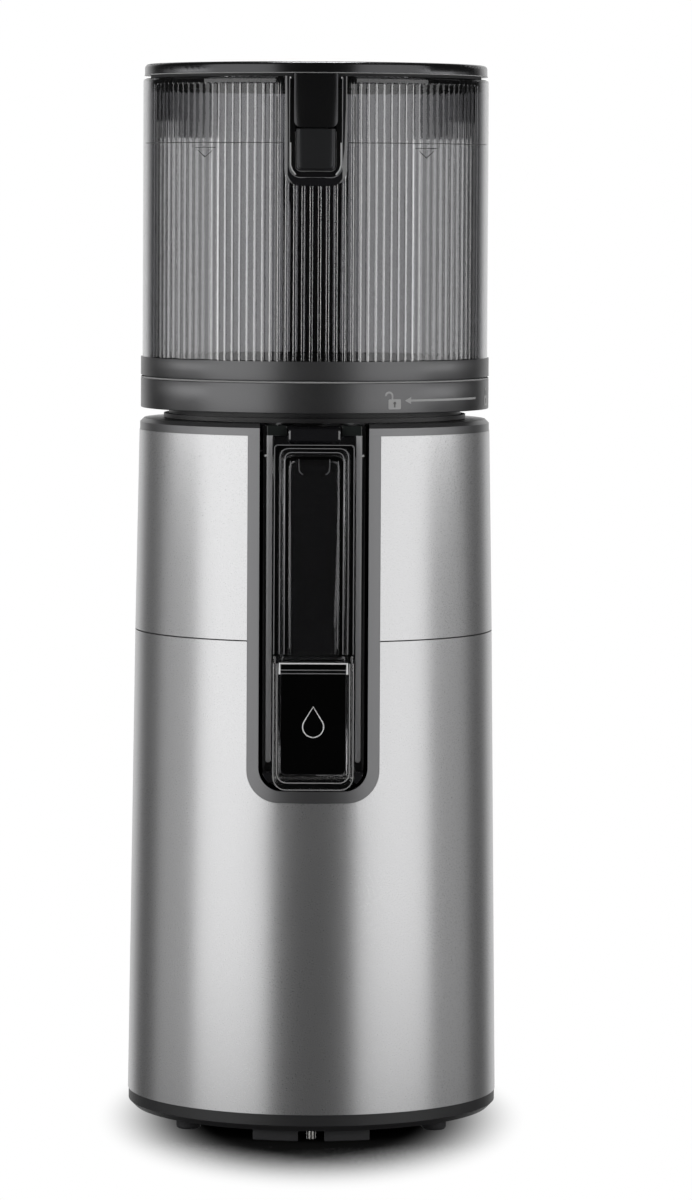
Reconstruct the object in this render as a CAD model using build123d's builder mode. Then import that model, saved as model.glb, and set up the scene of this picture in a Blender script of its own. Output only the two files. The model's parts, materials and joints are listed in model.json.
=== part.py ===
"""Vertical cold press juicer, built as separate pieces in millimetres.

The frame stands on the floor: origin under the machine's axis, +Z up, the juice cap faces -Y.
"""

import os
from math import acos, cos, pi, radians, sin, sqrt, tan

from build123d import *

# ---------------------------------------------------------------- fits
slip = 0.3  # between faces of pieces that move past each other
running = 0.05  # radial, between a shaft or pin and its bearing
seat = 0.1  # between curved faces of pieces that are fixed together
past = 1.0  # how far a cutting tool runs past what it cuts

# ---------------------------------------------------------------- heights, from the floor up
foot_height = 5.0
base_ring_height = 7.0
lower_shell_height = 193.5
seam = 0.5
upper_shell_height = 83.5
top_ring_height = 4.8
neck_height = 4.5
collar_height = 12.4
groove_height = 1.2
hopper_ring_height = 7.6
wall_height = 116.0
lid_gap = 1.2
lid_thickness = 4.8

shell_bottom_z = foot_height + base_ring_height
seam_z = shell_bottom_z + lower_shell_height
shell_top_z = seam_z + seam + upper_shell_height
body_top_z = shell_top_z + top_ring_height
collar_z = body_top_z + neck_height
groove_z = collar_z + collar_height
hopper_ring_z = groove_z + groove_height
hopper_ring_top_z = hopper_ring_z + hopper_ring_height
wall_top_z = hopper_ring_top_z + wall_height
lid_z = wall_top_z + lid_gap
lid_top_z = lid_z + lid_thickness

# ---------------------------------------------------------------- body
shell_base_radius = 77.5
lower_taper = 2.5  # how much narrower the lower shell is at the seam than at the floor
upper_taper = 1.5
shell_wall = 2.5
top_ring_inset = 0.25
top_ring_edge = 1.6
base_ring_inset = 0.3
base_ring_wall = 3.0
base_ring_edge = 2.4
base_plate_thickness = 3.0
vent_count = 24
vent_inner_radius = 14.0
vent_outer_radius = 34.0
vent_width = 2.0

# front channel
channel_half_width = 22.35
channel_floor_above_seam = -60.9
channel_corner = 9.4
bezel_width = 4.75
bezel_corner = 13.0
bezel_thickness = 3.0
liner_thickness = 1.7

shell_seam_radius = shell_base_radius - lower_taper
shell_top_radius = shell_seam_radius - upper_taper
top_ring_radius = shell_top_radius - top_ring_inset
base_ring_radius = shell_base_radius - base_ring_inset
channel_floor_z = seam_z + channel_floor_above_seam
bezel_half_width = channel_half_width + bezel_width
bezel_floor_z = channel_floor_z - bezel_width

# ---------------------------------------------------------------- chamber
chamber_inset = 13.5  # from the top of the shell to the bowl
chamber_wall = 2.4
chamber_floor_thickness = 3.0
well_gap = 1.0
well_wall = 2.0
well_floor = 2.7
chamber_lift = 2.4  # the bowl's floor above the floor of the well
rim_reach = 1.2
rim_step = 2.1
rim_step_height = 1.8
lug_reach = 5.3
lug_height = 3.5
lug_span = 30.0
lug_count = 4
lug_angle = 72.5
lug_drop = 4.7  # from the rim's top to the lugs' top
gasket_height = 0.9

chamber_radius = shell_top_radius - chamber_inset
rim_radius = chamber_radius + rim_reach
rim_step_radius = rim_radius + rim_step
lug_radius = rim_radius + lug_reach
well_inner_radius = chamber_radius + well_gap
well_outer_radius = well_inner_radius + well_wall
well_floor_z = channel_floor_z - slip - well_floor
chamber_z = well_floor_z + well_floor + chamber_lift
chamber_floor_z = chamber_z + chamber_floor_thickness
rim_z = body_top_z + slip
rim_top_z = groove_z
lug_top_z = rim_top_z - lug_drop
lug_z = lug_top_z - lug_height

# chamber front
front_block_gap = 1.5  # to the channel's sides and floor
front_block_depth = 5.5  # from the bowl to the flat front of its block
mouth_half_width = 13.5
mouth_reach = 3.0  # this and the next reaches start at the flat front of the block
mouth_bottom_above_pivot = 6.5
outlet_width = 14.0
outlet_height = 12.0
outlet_above_mouth = 3.0
cover_half_width = 16.5
cover_reach = 7.0
cover_wall = 2.5
duct_half_width = 12.0
duct_wall = 2.2
cover_corner = 3.0
rail_gap = 0.5  # between a rail and the cap beside it
rail_width = 2.4
rail_depth = 3.0
rail_bottom_above_floor = 11.2
rail_arm_inner = 11.2
rail_arm_height = 4.1
hook_half_width = 10.8
hook_height = 6.8
hook_drop = 1.0  # below the top of the body
hook_edge = 2.5
hook_reach = 6.5
detent_radius = 0.6
detent_gap = 0.15
detent_drop = 13.5

# juice cap
cap_half_width = 16.6
cap_height = 55.0
cap_front_reach = 9.5
cap_back_reach = 3.5
cap_wall = 2.4
cap_front_wall = 2.0
cap_corner = 4.8
cap_inner_corner = 3.6
cap_lower_edge = 1.8
cap_pivot_reach = 6.5
cap_pivot_above_floor = 5.4
cap_ear_radius = 2.6
cap_pin_radius = 1.2
cap_pin_grip = 1.7  # how far the pin goes into each ear
seal_half_width = 13.4
seal_thickness = 3.0
seal_bottom_above_cap = 6.3
seal_corner = 2.5
seal_lip = 1.0
lip_bar_drop = 3.0

front_block_y = chamber_radius + front_block_depth
mouth_y = front_block_y + mouth_reach
cover_y = front_block_y + cover_reach
hook_y = front_block_y + hook_reach
cap_front_y = front_block_y + cap_front_reach
cap_back_y = front_block_y + cap_back_reach
cap_pivot_y = front_block_y + cap_pivot_reach
front_block_half_width = channel_half_width - front_block_gap
front_block_z = channel_floor_z + front_block_gap
rail_inner = cap_half_width + rail_gap
detent_x = rail_inner + rail_width + detent_radius + detent_gap
cap_z = channel_floor_z + slip
cap_top_z = cap_z + cap_height
cap_pivot_z = channel_floor_z + cap_pivot_above_floor
cap_pin_half_width = cap_half_width + slip + cap_pin_grip
mouth_z = cap_pivot_z + mouth_bottom_above_pivot
outlet_z = mouth_z + outlet_above_mouth
cover_z = cap_top_z + slip
hook_top_z = body_top_z - hook_drop
hook_z = hook_top_z - hook_height
cover_top_z = hook_z

# strainer and auger
strainer_inset = 20.0  # from the bowl to the strainer
strainer_wall = 2.0
strainer_height = 110.0
strainer_foot_reach = 4.0
strainer_foot_height = 3.0
slit_count = 36
slit_width = 1.2
slit_height = 84.0
slit_above_foot = 8.0
auger_core_radius = 22.0
auger_flight_gap = 1.5
auger_flight_width = 7.0
auger_twist = 420.0
auger_top_gap = 4.0
head_core_radius = 26.0
head_flight_gap = 3.6
head_flight_width = 9.0
head_height = 30.0
head_twist = 110.0
blade_gap = 7.6
blade_width = 9.0
blade_thickness = 4.0
hex_across_flats = 10.0
socket_depth = 24.0
drive_seal_radius = 9.0
drive_seal_flange_radius = 13.0
drive_seal_flange = 1.2
drive_seal_gap = 0.1

chamber_inner_radius = chamber_radius - chamber_wall
strainer_inner_radius = chamber_radius - strainer_inset
strainer_foot_radius = strainer_inner_radius + strainer_wall + strainer_foot_reach
auger_flight_radius = strainer_inner_radius - auger_flight_gap
head_flight_radius = chamber_inner_radius - head_flight_gap
blade_radius = chamber_inner_radius - blade_gap

# ---------------------------------------------------------------- hopper
collar_inset = 0.5  # from the top of the shell to the collar
collar_wall = 3.0
collar_lug_gap = 1.3
groove_depth = 1.0
spigot_gap = 0.8
ring_flange_reach = 4.0  # inward from the spigot
ring_flange_thickness = 1.9
wall_inset = 0.6  # from the collar to the wall
wall_thickness = 2.4
wall_foot_inset = 1.3
rib_count = 135
rib_width = 1.1
rib_depth = 0.4
rib_top_gap = 3.0
funnel_gap = 0.8
funnel_reach = 0.5  # inward from the ring it sits on
funnel_height = 5.6
funnel_lip = 2.2
funnel_edge = 1.0

# latch at the front of the hopper
frame_half_width = 12.55
frame_height = 44.6
frame_corner = 6.5
frame_proud = 0.7  # how far the frame stands out of the wall
frame_depth = 12.6
frame_back_wall = 2.0
pocket_half_width = 10.8
pocket_height = 41.2
pocket_corner = 4.6
pocket_depth = 4.1
tongue_half_width = 8.95
tongue_length = 22.1
tongue_inset = 0.9  # this and the next insets start at the front of the frame
tongue_thickness = 2.6
tongue_corner = 3.0
button_half_width = 7.25
button_height = 16.3
button_corner = 2.0
button_inset = 1.2
button_depth = 3.6
button_flange = 0.9
button_flange_inset = 2.7
button_gap = 0.4
catch_half_width = 5.0
catch_height = 5.0
catch_root = 4.0  # how far the catch reaches down behind the button
catch_gap = 0.7  # behind the tongue
catch_depth = 2.5
button_spring_radius = 2.4
spring_wire_radius = 0.35
button_spring_turns = 3.5

# lid and rear column
lid_inset = 0.7
lid_edge = 1.7
lid_seal_gap = 0.8
lid_seal_wall = 2.8
lid_seal_height = 6.0
pivot_reach = 0.6  # from the wall to the lid's hinge
pivot_drop = 1.5  # the lid's hinge axis below the top of the wall
knuckle_radius = 3.0
knuckle_half_width = 9.6
ear_outer_half_width = 13.0
ear_radius = 3.0
hinge_pin_radius = 1.4
column_half_width = 12.5
column_depth = 14.0
column_top_drop = 5.9
bracket_top_drop = 5.6
bracket_thickness = 4.4
rod_radius = 1.8
rod_step = 1.6  # the rod stands this much nearer the axis than the plunger
rod_foot_gap = 0.4
rod_spring_radius = 3.0
rod_spring_bore = 3.7
rod_spring_height = 18.0
rod_spring_turns = 6.0
rod_collar_radius = 2.6
rod_collar_height = 1.5

collar_radius = shell_top_radius - collar_inset
collar_lug_inner = rim_radius + collar_lug_gap
groove_radius = collar_radius - groove_depth
spigot_radius = rim_radius + spigot_gap
ring_flange_inner = spigot_radius - ring_flange_reach
wall_radius = collar_radius - wall_inset
wall_inner_radius = wall_radius - wall_thickness
wall_foot_radius = wall_radius - wall_foot_inset
funnel_outer_radius = wall_inner_radius - funnel_gap
funnel_inner_radius = ring_flange_inner - funnel_reach
frame_radius = wall_radius + frame_proud
frame_back_radius = frame_radius - frame_depth
pocket_radius = frame_radius - pocket_depth
tongue_radius = frame_radius - tongue_inset
button_radius = frame_radius - button_inset
button_flange_radius = frame_radius - button_flange_inset
catch_front_radius = tongue_radius - tongue_thickness - catch_gap
catch_back_y = catch_front_radius - catch_depth
lid_radius = wall_radius - lid_inset
lid_seal_radius = wall_inner_radius - lid_seal_gap
pivot_y = wall_radius + pivot_reach
column_front_y = wall_inner_radius - column_depth
pivot_z = wall_top_z - pivot_drop
frame_z = wall_top_z - frame_height
pocket_z = wall_top_z - pocket_height
tongue_z = lid_z - tongue_length
button_z = tongue_z - button_gap - button_height

# ---------------------------------------------------------------- drive
housing_modules = 80  # housing radius in gear modules
pressure_angle = 20.0
addendum = 0.8  # of the module
dedendum = 1.1  # of the module
backlash = 0.12
motor_pinion_teeth = 16
lay_gear_teeth = 64
lay_pinion_teeth = 20
output_gear_teeth = 60
gear_width = 9.0
lay_gear_width = 7.0
gear_air = 3.0
housing_overhang = 1.0  # past the well that stands on it
housing_wall = 2.5
housing_floor = 5.0
cover_plate = 6.0
drive_shaft_radius = 6.5
output_bearing_radius = 10.5
lay_shaft_radius = 3.5
lay_bearing_radius = 6.5
bearing_height = 4.0
motor_shaft_radius = 3.0
motor_bearing_radius = 7.0
motor_radius = 34.0
motor_height = 62.0
motor_wall = 2.0
motor_end = 4.0
stator_outer_gap = 0.1
stator_inner_radius = 20.0
stator_length = 42.0
stator_slots = 9
slot_width = 4.0
slot_depth = 8.0
slot_overrun = 1.0
rotor_radius = 19.4
fan_radius = 30.0
fan_height = 8.0
fan_hub_radius = 9.0
fan_blades = 9
fan_blade_thickness = 1.6
fan_gap = 3.0
column_radius = 4.5
column_inset = 8.0

housing_radius = well_outer_radius + housing_overhang
column_circle = housing_radius - column_inset
column_offset = column_circle * sin(radians(45))
gear_module = housing_radius / housing_modules
centre_distance = gear_module * (motor_pinion_teeth + lay_gear_teeth) / 2
cover_plate_top_z = well_floor_z
drive_seal_bore = drive_shaft_radius + drive_seal_gap
cover_plate_z = cover_plate_top_z - cover_plate
output_gear_z = cover_plate_z - gear_air - gear_width
lay_gear_z = output_gear_z - gear_air - lay_gear_width
housing_z = lay_gear_z - gear_air - housing_floor
motor_top_z = housing_z
motor_z = motor_top_z - motor_height
fan_z = motor_z - fan_gap - fan_height

# ---------------------------------------------------------------- rear fittings and feet
duct_opening_half_width = 12.5
duct_opening_height = 15.0
pulp_duct_wall = 2.2
duct_above_chamber_floor = 3.0
flap_thickness = 2.0
flap_inset = 1.0
flap_pin_radius = 1.0
flap_knuckle_radius = 1.5
flap_pin_drop = 2.0
port_half_width = 10.0
switch_half_width = 10.0
switch_height = 14.0
switch_depth = 13.0
switch_wall = 1.6
switch_centre_z = 45.0
switch_inset = 1.0
rocker_gap = 0.5
rocker_air = 1.4  # above and below the rocker, for its swing
rocker_back = 3.5
rocker_pin_radius = 1.2
rocker_nose = 5.2
inlet_centre_z = 24.0
inlet_outer_radius = 6.5
inlet_bore_radius = 4.0
inlet_flange_radius = 8.5
inlet_flange = 1.6
inlet_length = 9.5
inlet_sink = 0.5
board_past_column = 2.4
board_thickness = 1.6
board_z = 24.0
board_height = 60.0
relay_x = 20.0
chip_width = 13.0
chip_height = 6.0
chip_drop = 16.0
capacitor_radius = 5.0
foot_radius = 5.1
foot_inset = 13.9
foot_angle = 53.3
foot_edge = 0.8
pad_depth = 10.5
pad_inset = 7.0
pad_inner_x = 5.4
pad_outer_x = 24.0
screw_head_radius = 3.2
screw_head_height = 2.2
front_screw_radius = 1.85
front_screw_inset = 11.5
plunger_radius = 1.2
plunger_gap = 0.5  # between the plunger and the chamber's rim
plunger_height = 2.5
micro_switch_width = 12.0
micro_switch_depth = 6.5
micro_switch_height = 9.0
well_flange_thickness = 2.4

rear_y = shell_base_radius
foot_circle = shell_base_radius - foot_inset
pad_outer_radius = shell_base_radius - pad_inset
pad_inner_radius = pad_outer_radius - pad_depth
front_screw_y = shell_base_radius - front_screw_inset
plunger_y = rim_step_radius + plunger_gap + plunger_radius
rod_y = plunger_y - rod_step


# ---------------------------------------------------------------- shared shapes
def shell_radius(z):
    """Radius of the body's taper at height z, one straight cone below the seam and one above."""
    if z < seam_z:
        along = (z - shell_bottom_z) / (seam_z - shell_bottom_z)
        return shell_base_radius + (shell_seam_radius - shell_base_radius) * along
    along = (z - seam_z) / (shell_top_z - seam_z)
    return shell_seam_radius + (shell_top_radius - shell_seam_radius) * along


def ring_section(*points):
    """Section of a turned piece, as radius and height pairs."""
    with BuildSketch(Plane.XZ) as section:
        with BuildLine():
            Polyline(*points, close=True)
        make_face()
    return section.sketch


def shell_section(z0, z1, wall):
    """Section of a ring that follows the body's side and is wall thick."""
    heights = [z0, seam_z, z1] if z0 < seam_z < z1 else [z0, z1]
    outer = [(shell_radius(z), z) for z in heights]
    inner = [(shell_radius(z) - wall, z) for z in reversed(heights)]
    return ring_section(*outer, *inner)


def tube_section(inner_radius, outer_radius, z0, z1):
    """Section of a plain tube."""
    return ring_section((inner_radius, z0), (outer_radius, z0), (outer_radius, z1), (inner_radius, z1))


def channel_outline(half_width, z0, z1, corner):
    """Upright outline with a flat top and two rounded lower corners, seen from the front."""
    with BuildSketch(Plane.XZ) as outline:
        with BuildLine():
            side = FilletPolyline(
                (half_width, z1), (half_width, z0), (-half_width, z0), (-half_width, z1), radius=corner
            )
            Line(side @ 0, side @ 1)
        make_face()
    return outline.sketch


def block(x0, x1, y0, y1, z0, z1):
    """Plain block between two corners, as a tool for cuts and additions."""
    centre = ((x0 + x1) / 2, (y0 + y1) / 2, (z0 + z1) / 2)
    return Pos(*centre) * Box(x1 - x0, y1 - y0, z1 - z0, mode=Mode.PRIVATE)


def slab(half_width, y0, y1, z0, z1):
    """Block that spans the same distance to both sides of the machine."""
    return block(-half_width, half_width, y0, y1, z0, z1)


def rod(radius, start, length, axis="Z"):
    """Round bar from a start point along an axis, as a tool for bores and pins."""
    turn = {"X": Rot(0, 90, 0), "Y": Rot(-90, 0, 0), "Z": Rot(0, 0, 0)}[axis]
    foot = (Align.CENTER, Align.CENTER, Align.MIN)
    return Pos(*start) * turn * Cylinder(radius, length, align=foot, mode=Mode.PRIVATE)


def spur_gear(teeth, face_width, z0, centre_x, bore_radius, first_tooth):
    """Involute spur gear with stub teeth; first_tooth is the angle of one tooth's middle."""
    pitch = gear_module * teeth / 2
    base = pitch * cos(radians(pressure_angle))
    tip = pitch + addendum * gear_module
    root = pitch - dedendum * gear_module
    half_tooth = pi / (2 * teeth) - backlash / (2 * pitch)
    flank_start = max(base, root)

    def flank_angle(radius):
        at_pitch = tan(radians(pressure_angle)) - radians(pressure_angle)
        swing = acos(min(1.0, base / radius))
        return half_tooth + at_pitch - (tan(swing) - swing)

    steps = 3
    flank = [flank_start + (tip - flank_start) * i / steps for i in range(steps + 1)]
    outline = []
    for tooth in range(teeth):
        middle = radians(first_tooth) + 2 * pi * tooth / teeth
        side = [(root, flank_angle(flank_start))] if root < flank_start else []
        side += [(radius, flank_angle(radius)) for radius in flank]
        polar = [(radius, middle - angle) for radius, angle in side]
        polar += [(radius, middle + angle) for radius, angle in reversed(side)]
        outline += [(radius * cos(angle), radius * sin(angle)) for radius, angle in polar]
    with BuildPart() as gear:
        with BuildSketch(Plane.XY.offset(z0).move(Location((centre_x, 0, 0)))):
            with BuildLine():
                Polyline(*outline, close=True)
            make_face()
            Circle(bore_radius, mode=Mode.SUBTRACT)
        extrude(amount=face_width)
    return gear.part


def coil(radius, wire_radius, height, turns, start, direction):
    """Compression spring wound about a line from start."""
    path = Edge.make_helix(height / turns, height, radius, center=start, normal=direction)
    with BuildSketch(Plane(origin=path @ 0, z_dir=path % 0)) as section:
        Circle(wire_radius)
    return Solid.sweep(section.sketch.face(), path=path, is_frenet=True)


def twisted_screw(core_radius, flight_radius, flight_width, z0, height, twist, flights):
    """Core with flights that wind round it."""
    with BuildSketch(Plane.XY.offset(z0)) as section:
        Circle(core_radius)
        with PolarLocations(0, flights):
            SlotCenterToCenter(2 * (flight_radius - flight_width / 2), flight_width)
    return Solid.extrude_linear_with_rotation(section.sketch.face(), (0, 0, z0), (0, 0, height), twist)


def finish(builder, label):
    """Names the piece and writes its file."""
    builder.part.label = label
    export_step(builder.part, f"parts/{label}.step")


os.makedirs("parts", exist_ok=True)

# ================================================================ base of the body
with BuildPart() as base_plate:
    with BuildSketch(Plane.XY.offset(foot_height)):
        Circle(base_ring_radius - base_ring_wall - seat)
        with PolarLocations((vent_inner_radius + vent_outer_radius) / 2, vent_count):
            SlotOverall(vent_outer_radius - vent_inner_radius, vent_width, mode=Mode.SUBTRACT)
    extrude(amount=base_plate_thickness)
    with BuildSketch(Plane.XY.offset(foot_height + base_plate_thickness)):
        with PolarLocations(column_circle, 4, start_angle=45):
            Circle(column_radius)
    extrude(amount=housing_z - foot_height - base_plate_thickness)
finish(base_plate, "base_plate")

with BuildPart() as base_ring:
    revolve(
        ring_section(
            (base_ring_radius - base_ring_wall, foot_height),
            (base_ring_radius - base_ring_edge, foot_height),
            (base_ring_radius, foot_height + base_ring_edge),
            (base_ring_radius, shell_bottom_z),
            (base_ring_radius - base_ring_wall, shell_bottom_z),
        ),
        axis=Axis.Z,
    )
finish(base_ring, "base_ring")

with BuildPart() as front_pads:
    for side in (-1, 1):
        x0, x1 = sorted((side * pad_inner_x, side * pad_outer_x))
        add(block(x0, x1, -pad_outer_radius, pad_outer_radius, 0, foot_height))
    revolve(
        tube_section(pad_inner_radius, pad_outer_radius, -past, foot_height + past),
        axis=Axis.Z,
        mode=Mode.INTERSECT,
    )
finish(front_pads, "front_pads")

with BuildPart() as round_feet:
    with BuildSketch(Plane.XY):
        for turn in (90 - foot_angle, 90 + foot_angle, 270 - foot_angle, 270 + foot_angle):
            with Locations((foot_circle * cos(radians(turn)), foot_circle * sin(radians(turn)))):
                Circle(foot_radius)
    extrude(amount=foot_height)
    chamfer(round_feet.faces().sort_by(Axis.Z)[:4].edges(), foot_edge)
finish(round_feet, "round_feet")

with BuildPart() as base_screws:
    with BuildSketch(Plane.XY.offset(foot_height - screw_head_height)):
        with PolarLocations(column_circle - 2 * column_radius, 4, start_angle=45):
            Circle(screw_head_radius)
    extrude(amount=screw_head_height)
    with BuildSketch(Plane.XY.offset(foot_height - 2 * screw_head_height)):
        with Locations((0, -front_screw_y)):
            Circle(front_screw_radius)
    extrude(amount=2 * screw_head_height)
finish(base_screws, "base_screws")

# ================================================================ shells and front channel
pulp_duct_z = chamber_floor_z + duct_above_chamber_floor
pulp_duct_outer_half_width = duct_opening_half_width + pulp_duct_wall

with BuildPart() as lower_shell:
    revolve(shell_section(shell_bottom_z, seam_z, shell_wall), axis=Axis.Z)
    extrude(
        channel_outline(bezel_half_width + seat, bezel_floor_z - seat, seam_z + seam, bezel_corner + seat),
        amount=2 * shell_base_radius,
        mode=Mode.SUBTRACT,
    )
    add(
        slab(
            pulp_duct_outer_half_width + seat, 0, 2 * rear_y, pulp_duct_z - pulp_duct_wall - seat,
            pulp_duct_z + duct_opening_height + pulp_duct_wall + seat,
        ),
        mode=Mode.SUBTRACT,
    )
    add(
        slab(
            switch_half_width + seat, 0, 2 * rear_y, switch_centre_z - switch_height / 2 - seat,
            switch_centre_z + switch_height / 2 + seat,
        ),
        mode=Mode.SUBTRACT,
    )
    add(rod(inlet_outer_radius + seat, (0, 0, inlet_centre_z), 2 * rear_y, "Y"), mode=Mode.SUBTRACT)
finish(lower_shell, "lower_shell")

with BuildPart() as upper_shell:
    revolve(shell_section(seam_z + seam, shell_top_z, shell_wall), axis=Axis.Z)
    add(
        slab(bezel_half_width + seat, -2 * shell_base_radius, 0, seam_z, shell_top_z + past),
        mode=Mode.SUBTRACT,
    )
finish(upper_shell, "upper_shell")

with BuildPart() as top_ring:
    revolve(
        ring_section(
            (well_inner_radius, shell_top_z),
            (top_ring_radius, shell_top_z),
            (top_ring_radius, body_top_z - top_ring_edge),
            (top_ring_radius - top_ring_edge, body_top_z),
            (well_inner_radius, body_top_z),
        ),
        axis=Axis.Z,
    )
    add(
        slab(channel_half_width, -2 * shell_base_radius, 0, shell_top_z - past, body_top_z + past),
        mode=Mode.SUBTRACT,
    )
    add(
        rod(plunger_radius + slip, (0, plunger_y, shell_top_z - past), top_ring_height + 2 * past),
        mode=Mode.SUBTRACT,
    )
finish(top_ring, "top_ring")

with BuildPart() as front_bezel:
    revolve(shell_section(bezel_floor_z - past, shell_top_z, bezel_thickness), axis=Axis.Z)
    extrude(
        channel_outline(bezel_half_width, bezel_floor_z, shell_top_z + past, bezel_corner),
        amount=2 * shell_base_radius,
        mode=Mode.INTERSECT,
    )
    extrude(
        channel_outline(channel_half_width, channel_floor_z, shell_top_z + past, channel_corner),
        amount=2 * shell_base_radius,
        mode=Mode.SUBTRACT,
    )
finish(front_bezel, "front_bezel")

well_flange_z = shell_top_z - well_flange_thickness
well_flange_radius = shell_top_radius - bezel_thickness - seat
liner_z = channel_floor_z - liner_thickness

with BuildPart() as channel_liner:
    liner_heights = (liner_z - past, seam_z, well_flange_z)
    revolve(
        ring_section(
            *[(shell_radius(z) - bezel_thickness - seat, z) for z in liner_heights],
            (well_outer_radius + seat, well_flange_z),
            (well_outer_radius + seat, liner_z - past),
        ),
        axis=Axis.Z,
    )
    extrude(
        channel_outline(
            channel_half_width + liner_thickness, liner_z, shell_top_z, channel_corner + liner_thickness
        ),
        amount=2 * shell_base_radius,
        mode=Mode.INTERSECT,
    )
    extrude(
        channel_outline(channel_half_width, channel_floor_z, shell_top_z, channel_corner),
        amount=2 * shell_base_radius,
        mode=Mode.SUBTRACT,
    )
finish(channel_liner, "channel_liner")

# ================================================================ well that holds the chamber
with BuildPart() as chamber_well:
    revolve(
        ring_section(
            (drive_shaft_radius + slip, well_floor_z),
            (well_outer_radius, well_floor_z),
            (well_outer_radius, well_flange_z),
            (well_flange_radius, well_flange_z),
            (well_flange_radius, shell_top_z),
            (well_inner_radius, shell_top_z),
            (well_inner_radius, well_floor_z + well_floor),
            (drive_shaft_radius + slip, well_floor_z + well_floor),
        ),
        axis=Axis.Z,
    )
    extrude(
        channel_outline(channel_half_width, channel_floor_z, shell_top_z + past, channel_corner),
        amount=2 * shell_base_radius,
        mode=Mode.SUBTRACT,
    )
    add(
        slab(
            duct_opening_half_width, 0, 2 * shell_base_radius, pulp_duct_z,
            pulp_duct_z + duct_opening_height,
        ),
        mode=Mode.SUBTRACT,
    )
    add(
        rod(plunger_radius + slip, (0, plunger_y, well_flange_z - past), well_flange_thickness + 2 * past),
        mode=Mode.SUBTRACT,
    )
finish(chamber_well, "chamber_well")

with BuildPart() as micro_switch:
    add(
        slab(
            micro_switch_width / 2, well_outer_radius + seat,
            well_outer_radius + seat + micro_switch_depth, well_flange_z - micro_switch_height,
            well_flange_z,
        ),
    )
    add(rod(plunger_radius, (0, plunger_y, well_flange_z), body_top_z + plunger_height - well_flange_z))
finish(micro_switch, "micro_switch")

# ================================================================ pulp duct and its flap at the rear
flap_y = sqrt(shell_radius(pulp_duct_z) ** 2 - pulp_duct_outer_half_width**2) - flap_inset
duct_start_y = well_outer_radius + seat
flap_pin_z = pulp_duct_z + duct_opening_height - flap_pin_drop
with BuildPart() as pulp_duct:
    add(
        slab(
            pulp_duct_outer_half_width, duct_start_y, flap_y, pulp_duct_z - pulp_duct_wall,
            pulp_duct_z + duct_opening_height + pulp_duct_wall,
        ),
    )
    add(
        slab(duct_opening_half_width, duct_start_y, flap_y, pulp_duct_z, pulp_duct_z + duct_opening_height),
        mode=Mode.SUBTRACT,
    )
    add(
        rod(
            flap_pin_radius + running,
            (-duct_opening_half_width - pulp_duct_wall, flap_y - flap_thickness, flap_pin_z),
            2 * pulp_duct_outer_half_width, "X",
        ),
        mode=Mode.SUBTRACT,
    )
finish(pulp_duct, "pulp_duct")

with BuildPart() as pulp_flap:
    add(
        slab(
            duct_opening_half_width - slip, flap_y - flap_thickness - flap_pin_radius,
            flap_y - flap_pin_radius, pulp_duct_z + slip, flap_pin_z,
        ),
    )
    add(
        rod(
            flap_knuckle_radius,
            (-duct_opening_half_width + slip, flap_y - flap_thickness, flap_pin_z),
            2 * duct_opening_half_width - 2 * slip, "X",
        ),
    )
    add(
        rod(
            flap_pin_radius, (-pulp_duct_outer_half_width, flap_y - flap_thickness, flap_pin_z),
            2 * pulp_duct_outer_half_width, "X",
        ),
    )
finish(pulp_flap, "pulp_flap")

# ================================================================ chamber
with BuildPart() as chamber_bowl:
    revolve(
        ring_section(
            (drive_seal_radius, chamber_z),
            (chamber_radius, chamber_z),
            (chamber_radius, rim_z),
            (chamber_inner_radius, rim_z),
            (chamber_inner_radius, chamber_floor_z),
            (drive_seal_radius, chamber_floor_z),
        ),
        axis=Axis.Z,
    )
    add(
        slab(outlet_width / 2, -2 * chamber_radius, 0, outlet_z, outlet_z + outlet_height),
        mode=Mode.SUBTRACT,
    )
    add(
        slab(
            port_half_width, 0, 2 * chamber_radius, pulp_duct_z + slip,
            pulp_duct_z + duct_opening_height - slip,
        ),
        mode=Mode.SUBTRACT,
    )
finish(chamber_bowl, "chamber_bowl")

with BuildPart() as chamber_rim:
    revolve(
        ring_section(
            (chamber_inner_radius, rim_z),
            (rim_step_radius, rim_z),
            (rim_step_radius, rim_z + rim_step_height),
            (rim_radius, rim_z + rim_step_height),
            (rim_radius, rim_top_z),
            (chamber_inner_radius, rim_top_z),
        ),
        axis=Axis.Z,
    )
    for lug in range(lug_count):
        lug_body = Solid.revolve(
            tube_section(rim_radius - past, lug_radius, lug_z, lug_top_z).face(), lug_span, Axis.Z
        )
        add(Rot(0, 0, lug_angle - lug_span / 2 + lug * 360 / lug_count) * lug_body)
finish(chamber_rim, "chamber_rim")

with BuildPart() as chamber_gasket:
    revolve(tube_section(chamber_inner_radius, rim_radius, rim_top_z, rim_top_z + gasket_height), axis=Axis.Z)
finish(chamber_gasket, "chamber_gasket")

with BuildPart() as drive_seal:
    revolve(
        ring_section(
            (drive_seal_bore, chamber_z),
            (drive_seal_radius - seat, chamber_z),
            (drive_seal_radius - seat, chamber_floor_z),
            (drive_seal_flange_radius, chamber_floor_z),
            (drive_seal_flange_radius, chamber_floor_z + drive_seal_flange),
            (drive_seal_bore, chamber_floor_z + drive_seal_flange),
        ),
        axis=Axis.Z,
    )
finish(drive_seal, "drive_seal")

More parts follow.
